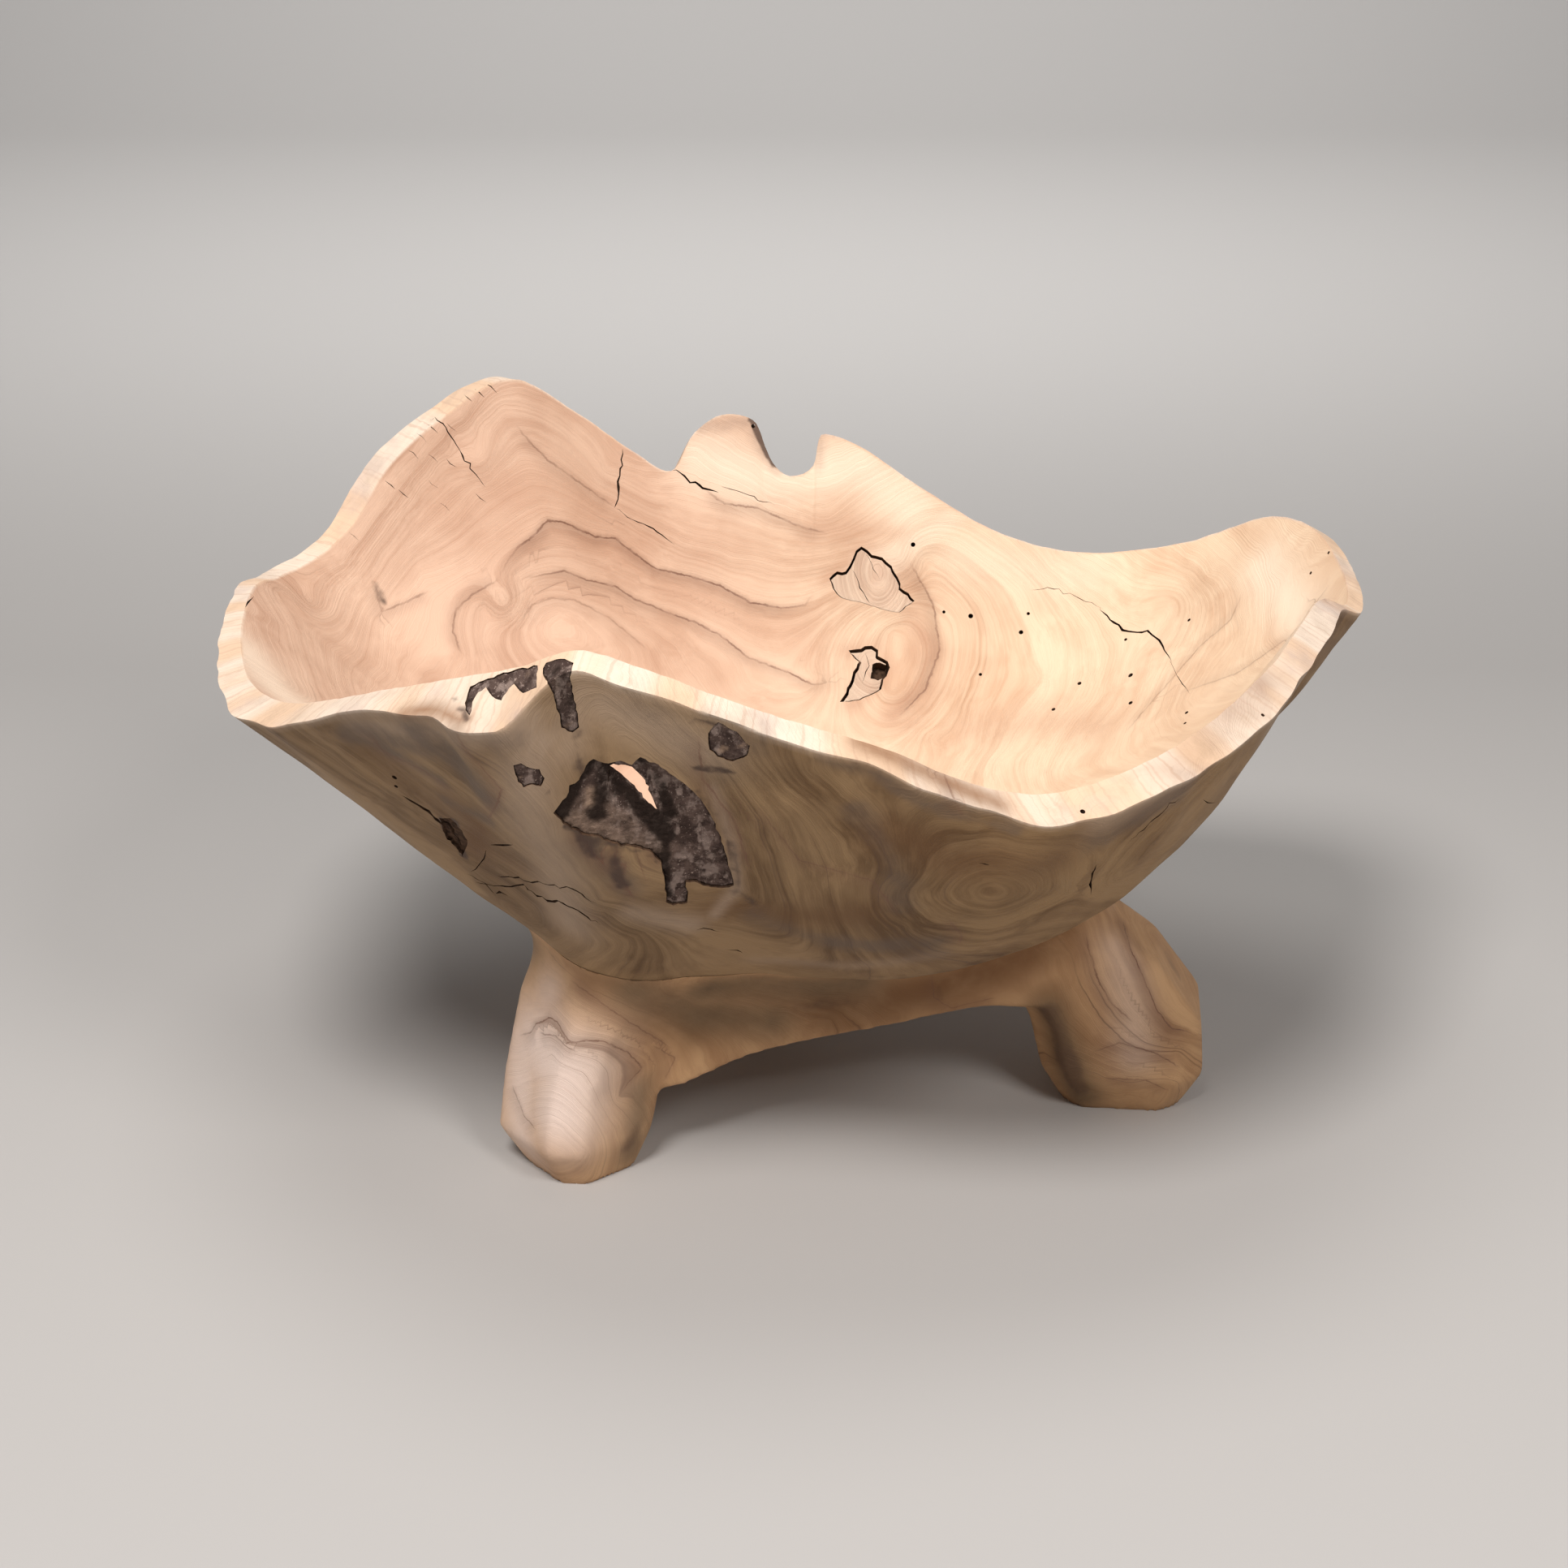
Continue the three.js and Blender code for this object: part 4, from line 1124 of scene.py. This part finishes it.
# Soft marks: strength, half width in mm, then the path
BASIN_PAINT = {
    "stain_and_shade": strokes("""
0.8 5 706,1015 720,1036 735,1055
0.75 5 760,1040 757,1068 768,1092
0.6 4 793,1040 806,1058
0.55 3 842,958 868,984 888,1015 902,1050 909,1095
0.75 3 694,1016 718,1031 738,1036 777,1047 800,1053 814,1066
0.9 3.5 546,1012 560,1035 572,1056
0.75 3 851,887 885,893
0.85 2.5 926,517 940,546 958,573
0.75 3 853,946 875,948 900,951
0.8 3 560,1010 566,1040 572,1052
0.6 5 905,1100 925,1110
0.8 2 673,977 674,979
0.7 3 560,860 575,885
0.7 5 713,900 708,925 716,950
0.5 4 463,718 470,740
"""),
    # Weathering: grey weathering, and painted shade in the hollow below the lit facet at the front left
    "weathering_and_shade": strokes("""
0.8 9 430,905 480,910 525,925
0.7 6 863,522 926,520 962,575
0.5 5 1005,545 1008,575
0.6 8 560,900 640,910
0.35 12 780,850 830,900 880,960
0.95 11 515,905 560,935 590,975
0.8 8 440,905 480,925 540,960
0.75 10 725,1040 760,1070 775,1098
0.7 6 549,986 601,1010
0.6 10 930,1130 1050,1165 1150,1160
0.6 9 1060,1000 1100,1060 1110,1120
0.7 5 1010,935 1090,960 1170,1000 1250,1022
0.5 10 1350,1040 1450,980
0.55 8 872,880 930,915
"""),
    # Flush: darker heartwood, halos round the knots and orange on the band, and painted shade on the shaded
    # facet along the band's lower edge at the front left
    "flush_and_shade": strokes("""
0.55 16 560,620 620,600 700,620 780,670
0.45 12 600,670 640,650
0.7 7 1125,760 1150,800 1138,845 1100,882
0.5 8 1030,660 1110,690 1135,745
0.45 10 1150,940 1170,990
0.35 14 820,730 900,750 980,790
0.4 12 1560,840 1490,900 1440,950
0.4 14 470,930 560,1010 640,1070
0.9 10 555,985 590,1020 585,1050
0.8 12 1100,1030 1180,1060 1300,1060
0.75 9 883,1118 960,1130 1060,1128
1 4.5 498,880 520,876 548,878 570,887
1 6 1060,915 1120,942 1180,968 1230,990
0.4 16 1200,900 1270,885 1350,900
0.5 8 1000,655 1060,650 1110,660
0.5 9 1130,800 1145,850 1120,890
0.5 5 1020,712 1050,685 1062,668 1105,700
0.5 5 1044,803 1080,795 1098,822 1050,868
"""),
    # Pale: paler patches of the wood, and painted light on the lit facets at the front left and on the
    # underside where light from the floor falls
    "pale_and_painted_light": strokes("""
0.8 20 300,800 340,850 420,870
0.5 16 1180,680 1260,700 1340,700
0.9 15 1560,700 1595,750 1600,810 1570,855
0.9 9 610,905 640,905 668,915
0.75 14 750,870 800,890 870,930
0.6 10 720,850 695,925
0.3 6 934,1184 1050,1190 1156,1176
0.6 9 1360,1010 1450,960
0.8 13 650,940 650,1000 690,1080 700,1135
0.65 3 878,970 903,1040 908,1095 880,1128
0.7 7 780,1125 850,1140
0.8 9 600,880 650,890
0.7 8 440,895 520,900 600,905
0.9 16 862,560 930,590 1060,570 1120,620
0.7 9 1075,700 1170,640
"""),
}


def drawn_lines(points, lines, surface=uncut):
    """Signed distance in mm to the nearest drawn line, and how strong the line is there."""
    best = np.full(len(points), 50.0)
    strength = np.zeros(len(points))
    for weight, pixels in lines:
        route, normals = on_surface(finer(pixels, 12), surface)
        low, high = route.min(axis=0) - 0.012, route.max(axis=0) + 0.012
        near = np.flatnonzero(((points > low) & (points < high)).all(axis=1))
        distance, sign, along = closest_on(route, normals, points[near])
        distance *= 1000
        fade = np.clip(np.minimum(along, 1 - along) / 0.12, 0, 1) * np.clip((11 - distance) / 5, 0, 1)
        closer = distance < np.abs(best[near])
        best[near[closer]] = (distance * sign)[closer]
        strength[near[closer]] = (weight * fade)[closer]
    return {"line": best, "line_strength": strength}


def grain_flow(points, curves, hidden, surface=uncut):
    """A smooth field in mm whose level lines run along the given curves of pixels."""
    places, values = [], []
    for value, pixels in curves:
        route, _ = on_surface(finer(pixels, 45), surface)
        places += list(route)
        values += [value] * len(route)
    for value, (place,) in hidden:
        places.append(np.array(place) / 1000 + POLE)
        values.append(value)
    places = np.array(places)
    count = len(places)

    def kernel(a, b):
        return np.linalg.norm(a[:, None] - b[None], axis=2)

    system = np.zeros((count + 4, count + 4))
    system[:count, :count] = kernel(places, places) - 0.0015 * np.eye(count)
    system[:count, count] = system[count, :count] = 1
    system[:count, count + 1:] = places
    system[count + 1:, :count] = places.T
    weights = np.linalg.solve(system, np.concatenate([values, np.zeros(4)]))
    field = np.empty(len(points))
    for start in range(0, len(points), 20000):
        part = points[start:start + 20000]
        field[start:start + 20000] = (
            kernel(part, places) @ weights[:count] + weights[count] + part @ weights[count + 1:])
    return field


row = np.repeat(np.arange(len(rings_carved)), rings_carved.shape[1])
is_band = smoothstep(row, outer_count - 2.4, outer_count - 1)
is_band *= 1 - smoothstep(row, inner_start, inner_start + 1)
is_inside = smoothstep(row, inner_start - 1.5, inner_start + 0.5)
around_rings = np.tile(around_rim, len(rings_carved))
blank_points = get_points(blank)
skin_values = {
    "flow": grain_flow(blank_points, FLOW_CURVES, HIDDEN_FLOW),
    "inside": np.concatenate([[0], is_inside, [1]]),
    "band": np.concatenate([[0], is_band, [0]]),
    "around": np.concatenate([[0], around_rings, [0]]),
}
for name, paint in BASIN_PAINT.items():
    skin_values[name] = painted(blank_points, paint)

# The values of the uncut skin go over to the cut one from the nearest faces
blank_faces = [tuple(p.vertices) for p in blank.data.polygons]
basin_points = get_points(basin)
nearest_faces = [blank_faces[uncut.find_nearest(Vector(p))[2]] for p in basin_points]
corners = np.array([(list(face) + [face[-1]])[:4] for face in nearest_faces])
offsets = np.linalg.norm(blank_points[corners] - basin_points[:, None], axis=2)
weights = 1 / (offsets ** 2 + 1e-10)
weights /= weights.sum(axis=1, keepdims=True)
add_values(basin, {name: (value[corners] * weights).sum(axis=1) for name, value in skin_values.items()})
add_values(basin, drawn_lines(basin_points, DRAWN_LINES))
bpy.data.objects.remove(blank)
basin.name = "basin_wood"
basin.data.shade_smooth()
basin.data.set_sharp_from_angle(angle=math.radians(38))
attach(basin, "root")
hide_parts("basin")


# Stand: the lower part of the root, shaped into a hub with three thick legs and
# scribed to the basin's underside. It is sanded, and a hollow fillet blends it in.
HUB_EDGE = np.array(path("""
148,-6,24 110,36,24 60,76,26 10,108,28 -38,116,28 -68,74,22 -88,20,20 -104,-44,34 -88,-88,44
-52,-86,42 -13,-71,32 49,-60,23 95,-46,20 128,-40,23
"""))
HUB_THICKNESS = 28
HUB_CEILING_SHARE = 0.55
HUB_CEILING_FALL = 0.2
HUB_FLARE = 1.04
HUB_RISE = 26
LEG_CORNER_SHARE = 0.19
LEG_HEIGHTS = [0, 18, 44, BASIN_LIFT - 4, BASIN_LIFT + 20, BASIN_LIFT + 42]
# Each leg: its heading, then x, y, width and depth at each height
LEGS = {
    "left": strokes("""-140
-92,-82,44,42 -94,-80,60,60 -90,-77,60,62 -80,-72,64,70 -68,-65,74,82 -57,-56,78,82"""),
    "right": strokes("""-6
161,-12,52,56 161,-10,70,76 157,-9,74,80 138,-8,70,74 112,-7,70,60 97,-6,70,54"""),
    "rear": strokes("""106
-36,112,48,44 -38,114,62,58 -36,110,64,60 -33,97,68,62 -29,80,72,64 -24,64,72,64"""),
}
STAND_VOXEL = 0.0018
STAND_SMOOTHING = 14
STAND_GAP = 0.15
FOOT_FLAT = 0.0012
FILLET_REACH = 0.028
FILLET_ROUNDS = 240
FILLET_SINK = 0.7
FILLET_TOP_PLACE = 0.66
STAND_FLOW = strokes("""
0 660,1150 700,1190 760,1230 850,1270
18 750,1170 830,1215 920,1245 1020,1260
34 930,1215 1050,1225 1150,1215 1260,1180
-22 638,1276 677,1250 702,1283 743,1283 791,1316 763,1350
-40 640,1330 680,1300 720,1320 740,1370
-60 650,1400 690,1390 720,1420
20 1338,1146 1341,1167 1352,1205 1368,1234 1397,1261
0 1382,1130 1392,1167 1408,1202 1424,1242 1443,1267
-20 1420,1150 1450,1200 1475,1250
30 1310,1240 1350,1290 1400,1310 1450,1300
50 1330,1330 1390,1345 1440,1340
""")
STAND_HIDDEN_FLOW = strokes("""
20 -36,125,20
-10 -36,120,60
-30 -20,90,80
30 0,60,50
40 0,0,50
10 -80,-50,40
-20 -110,-60,60
15 130,30,60
""")
STAND_LINES = strokes("""
0.8 638,1276 654,1273 659,1263 677,1253 687,1260 702,1283 712,1283 743,1283 773,1296 791,1316
776,1332 763,1350
0.5 664,1273 684,1276 697,1288 712,1297
0.6 804,1288 832,1304 817,1334
0.6 702,1207 766,1253 830,1293
0.85 1382,1130 1392,1167 1408,1202 1424,1242 1443,1267 1469,1272
0.7 1338,1146 1341,1167 1352,1205 1368,1234 1397,1261
0.6 1360,1328 1413,1331 1440,1344
0.6 1346,1296 1380,1285 1425,1298 1456,1317
0.5 1148,1200 1151,1229 1172,1242 1228,1229
0.5 631,1337 646,1375 661,1393
""")
STAND_PAINT = {
    # Flush: darker wood and veins, and painted shade on the hub under the basin's overhang and on the right
    # leg's inner facet
    "flush_and_shade": strokes("""
0.7 10 720,1215 800,1250 850,1275
0.6 5 1385,1140 1405,1200 1440,1265
0.95 16 1030,1235 1150,1215 1240,1190 1300,1150
0.7 12 1290,1230 1310,1290
"""),
    # Pale: pale pink wood, and painted light on the lit fronts of both legs
    "pale_and_painted_light": strokes("""
1 22 665,1285 700,1320 690,1370
0.85 16 645,1290 640,1400
0.4 8 735,1310 740,1380
0.6 12 675,1225 650,1290
0.35 11 1375,1170 1395,1240 1400,1300
"""),
    # Stain: dark veins, and painted shade on the legs' facets that face the arch
    "stain_and_shade": strokes("""
0.45 4 1150,1190 1160,1230
0.6 6 980,1240 1060,1235
0.45 5 1392,1160 1410,1210
0.75 9 1290,1250 1310,1300 1328,1340
0.5 6 798,1365 785,1425
"""),
    # Weathering: here all painted shade, on the hub in the basin's shadow along the joint, the right leg's
    # inner facet and the left leg's right facet
    "weathering_and_shade": strokes("""
1 13 655,1140 720,1170 800,1200 880,1215 960,1215 1060,1210
0.9 11 780,1222 860,1252 950,1255
1 10 1290,1245 1312,1300 1335,1350
0.9 9 790,1345 778,1420
"""),
}

# Teak of the stand: browner than the basin, with dark veins on the legs, painted shade on the hub and on
# the legs' facets that face the arch, and painted light on the legs' lit fronts
stand_teak, tree, shader = new_finish("stand_teak", 0.55, 0.22)
place = signal("ShaderNodeTexCoord", "Object")
cloud = noise_of(place, 30, 4, 0.55)
mottle = noise_of(place, 95, 3, 0.6)
wood = placed(figure, {
    "Flow": attribute_of("flow"), "Light": (0.64, 0.385, 0.20, 1),
    "Dark": (0.36, 0.185, 0.085, 1), "Line Amount": 0.9, "Warp": 3.5, "Bands": 0.95})
# Darker wood, and painted shade on the hub and on the right leg's inner facet.
flush_and_shade = attribute_of("flush_and_shade") * ramp(cloud, 0.25, 0.6, 0.5, 1)
colour = blend(flush_and_shade, wood["Color"], (0.24, 0.112, 0.044, 1))
# Painted shade: the hub in the basin's shadow, and the legs' facets that face the arch.
stand_painted_shade = attribute_of("weathering_and_shade") * ramp(cloud, 0.2, 0.6, 0.7, 1)
colour = blend(stand_painted_shade, colour, blend(mottle, (0.16, 0.098, 0.050, 1), (0.26, 0.165, 0.09, 1)))
# Pale pink wood, and painted light on the legs' lit fronts.
pale_and_painted_light = attribute_of("pale_and_painted_light") * ramp(cloud, 0.2, 0.6, 0.75, 1)
colour = blend(pale_and_painted_light, colour, blend(wood["Line"], (0.93, 0.735, 0.63, 1), (0.7, 0.5, 0.4, 1)))
colour = lined(colour, Core=0.5)
# Dark veins, and painted shade on the legs' facets that face the arch.
stain_and_shade = (cloud - 0.5) * 1.3 + attribute_of("stain_and_shade")
colour = blend(ramp(stain_and_shade, 0.4, 0.8) * 0.7, colour, (0.12, 0.065, 0.04, 1))
connect(shader, {"Base Color": colour, "Normal": raised(mottle * 0.6 + wood["Height"], 0.00022, 0.7)})


def leg_solid(name, heading, sections):
    turn = math.radians(heading)
    radial = np.array([math.cos(turn), math.sin(turn), 0])
    across = np.array([-radial[1], radial[0], 0])
    rings = []
    for z, (x, y, width, depth) in zip(LEG_HEIGHTS, sections):
        corner = LEG_CORNER_SHARE * width
        a, b = depth / 2, width / 2
        corners = [
            (a, b - corner), (a - corner, b), (corner - a, b), (-a, b - corner),
            (-a, corner - b), (corner - a, -b), (a - corner, -b), (a, corner - b)]
        rings.append([np.array([x, y, z]) + out * radial + side * across for out, side in corners])
    low = [*sections[0][:2], LEG_HEIGHTS[0]]
    high = [*sections[-1][:2], LEG_HEIGHTS[-1]]
    return skin("leg_" + name, low, np.array(rings), high)


def neighbour_smooth(piece, weight, rounds):
    """Moves each vertex towards its neighbours' middle, as far as its weight says."""
    points = get_points(piece)
    edges = np.empty(len(piece.data.edges) * 2, np.int32)
    piece.data.edges.foreach_get("vertices", edges)
    a, b = edges.reshape(-1, 2).T
    count = np.maximum(1, np.bincount(edges, minlength=len(points)))[:, None]
    for _ in range(rounds):
        total = np.stack([
            np.bincount(a, points[b, k], len(points)) + np.bincount(b, points[a, k], len(points))
            for k in range(3)], axis=1)
        points += (total / count - points) * weight[:, None]
    set_points(piece, points)


def largest_part(piece):
    """Drops what a cut leaves beside the main body."""
    shell = bmesh.new()
    shell.from_mesh(piece.data)
    left = set(shell.verts)
    largest = set()
    while left:
        front = {left.pop()}
        part = set(front)
        while front:
            front = {edge.other_vert(vertex) for vertex in front for edge in vertex.link_edges} & left
            left -= front
            part |= front
        largest = max(largest, part, key=len)
    bmesh.ops.delete(shell, geom=[v for v in shell.verts if v not in largest], context="VERTS")
    shell.to_mesh(piece.data)
    shell.free()


hub_edge = closed_spline(HUB_EDGE * [1, 1, -1] + [0, 0, BASIN_LIFT], [6] * len(HUB_EDGE))
hub_centre = BASIN_LIFT - HUB_THICKNESS
hub_ceiling = hub_edge * [HUB_CEILING_SHARE, HUB_CEILING_SHARE, HUB_CEILING_FALL]
hub_ceiling[:, 2] += (1 - HUB_CEILING_FALL) * hub_centre
hub_top = hub_edge * [HUB_FLARE, HUB_FLARE, 0] + [0, 0, BASIN_LIFT + HUB_RISE]
stand = skin(
    "stand_carved", [0, 0, hub_centre], np.array([hub_ceiling, hub_edge, hub_top]),
    [0, 0, BASIN_LIFT + HUB_RISE])
for leg_name, ((heading, sections),) in LEGS.items():
    cut(stand, leg_solid(leg_name, heading, sections), "UNION")

# The fillet: the stand is joined to a core of the basin, smoothed along the joint, and
# cut free again a hair off the basin's outer wall
outer_rings = rings_carved[:outer_count]
outer_normals = ring_normals(rings_carved)[:outer_count]
fillet_rows = int(np.searchsorted(outer_places, FILLET_TOP_PLACE))
sunk_rings = (outer_rings - outer_normals * FILLET_SINK)[:fillet_rows]
core = skin("core", [0, 0, BASIN_LIFT + FILLET_SINK], sunk_rings, [0, 0, sunk_rings[-1, :, 2].mean()])
core_surface = tree_of(core)
bare_surface = tree_of(stand)
cut(stand, core, "UNION")
remeshed(stand, STAND_VOXEL, STAND_SMOOTHING)
from_joint = np.array([
    max(surface.find_nearest(Vector(p))[3] for surface in (core_surface, bare_surface))
    for p in get_points(stand)])
neighbour_smooth(
    stand, 0.5 * (1 - smoothstep(from_joint, 0.4 * FILLET_REACH, FILLET_REACH)), FILLET_ROUNDS)
stand_low, stand_high = (np.array(corner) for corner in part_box("stand"))
stand_points = get_points(stand)
stand_points[:, 2] = np.where(stand_points[:, 2] < FOOT_FLAT, 0.0, stand_points[:, 2])
stand_points[:, :2] = np.clip(stand_points[:, :2], stand_low[:2], stand_high[:2])
set_points(stand, stand_points)
scribing_rings = outer_rings + outer_normals * STAND_GAP
cut(stand, skin("scribing", [0, 0, BASIN_LIFT - STAND_GAP], scribing_rings, high_pole))
largest_part(stand)
stand.data.materials.clear()
stand.data.materials.append(stand_teak)
stand_surface = tree_of(stand)
stand_points = get_points(stand)
add_values(stand, {"flow": grain_flow(stand_points, STAND_FLOW, STAND_HIDDEN_FLOW, stand_surface)})
add_values(stand, drawn_lines(stand_points, STAND_LINES, stand_surface))
for name, paint in STAND_PAINT.items():
    add_values(stand, {name: painted(stand_points, paint, stand_surface)})
stand.name = "stand_wood"
stand.data.shade_smooth()
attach(stand, "root")
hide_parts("stand")


# Pegs: three turned hardwood pegs, hidden in blind holes between the basin and the stand.
peg_wood, tree, shader = new_finish("peg_wood", 0.6)
place = signal("ShaderNodeTexCoord", "Object")
fibre = signal("ShaderNodeMapping", 0, {"Vector": place, "Scale": (1, 1, 0.06)})
grain = ramp(noise_of(fibre, 900, 3, 0.6), 0.3, 0.7)
connect(shader, {"Base Color": blend(grain, (0.55, 0.36, 0.21, 1), (0.33, 0.19, 0.10, 1))})
for name in ("peg_left", "peg_right", "peg_rear"):
    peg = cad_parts[name]
    peg.data.materials.clear()
    peg.data.materials.append(peg_wood)
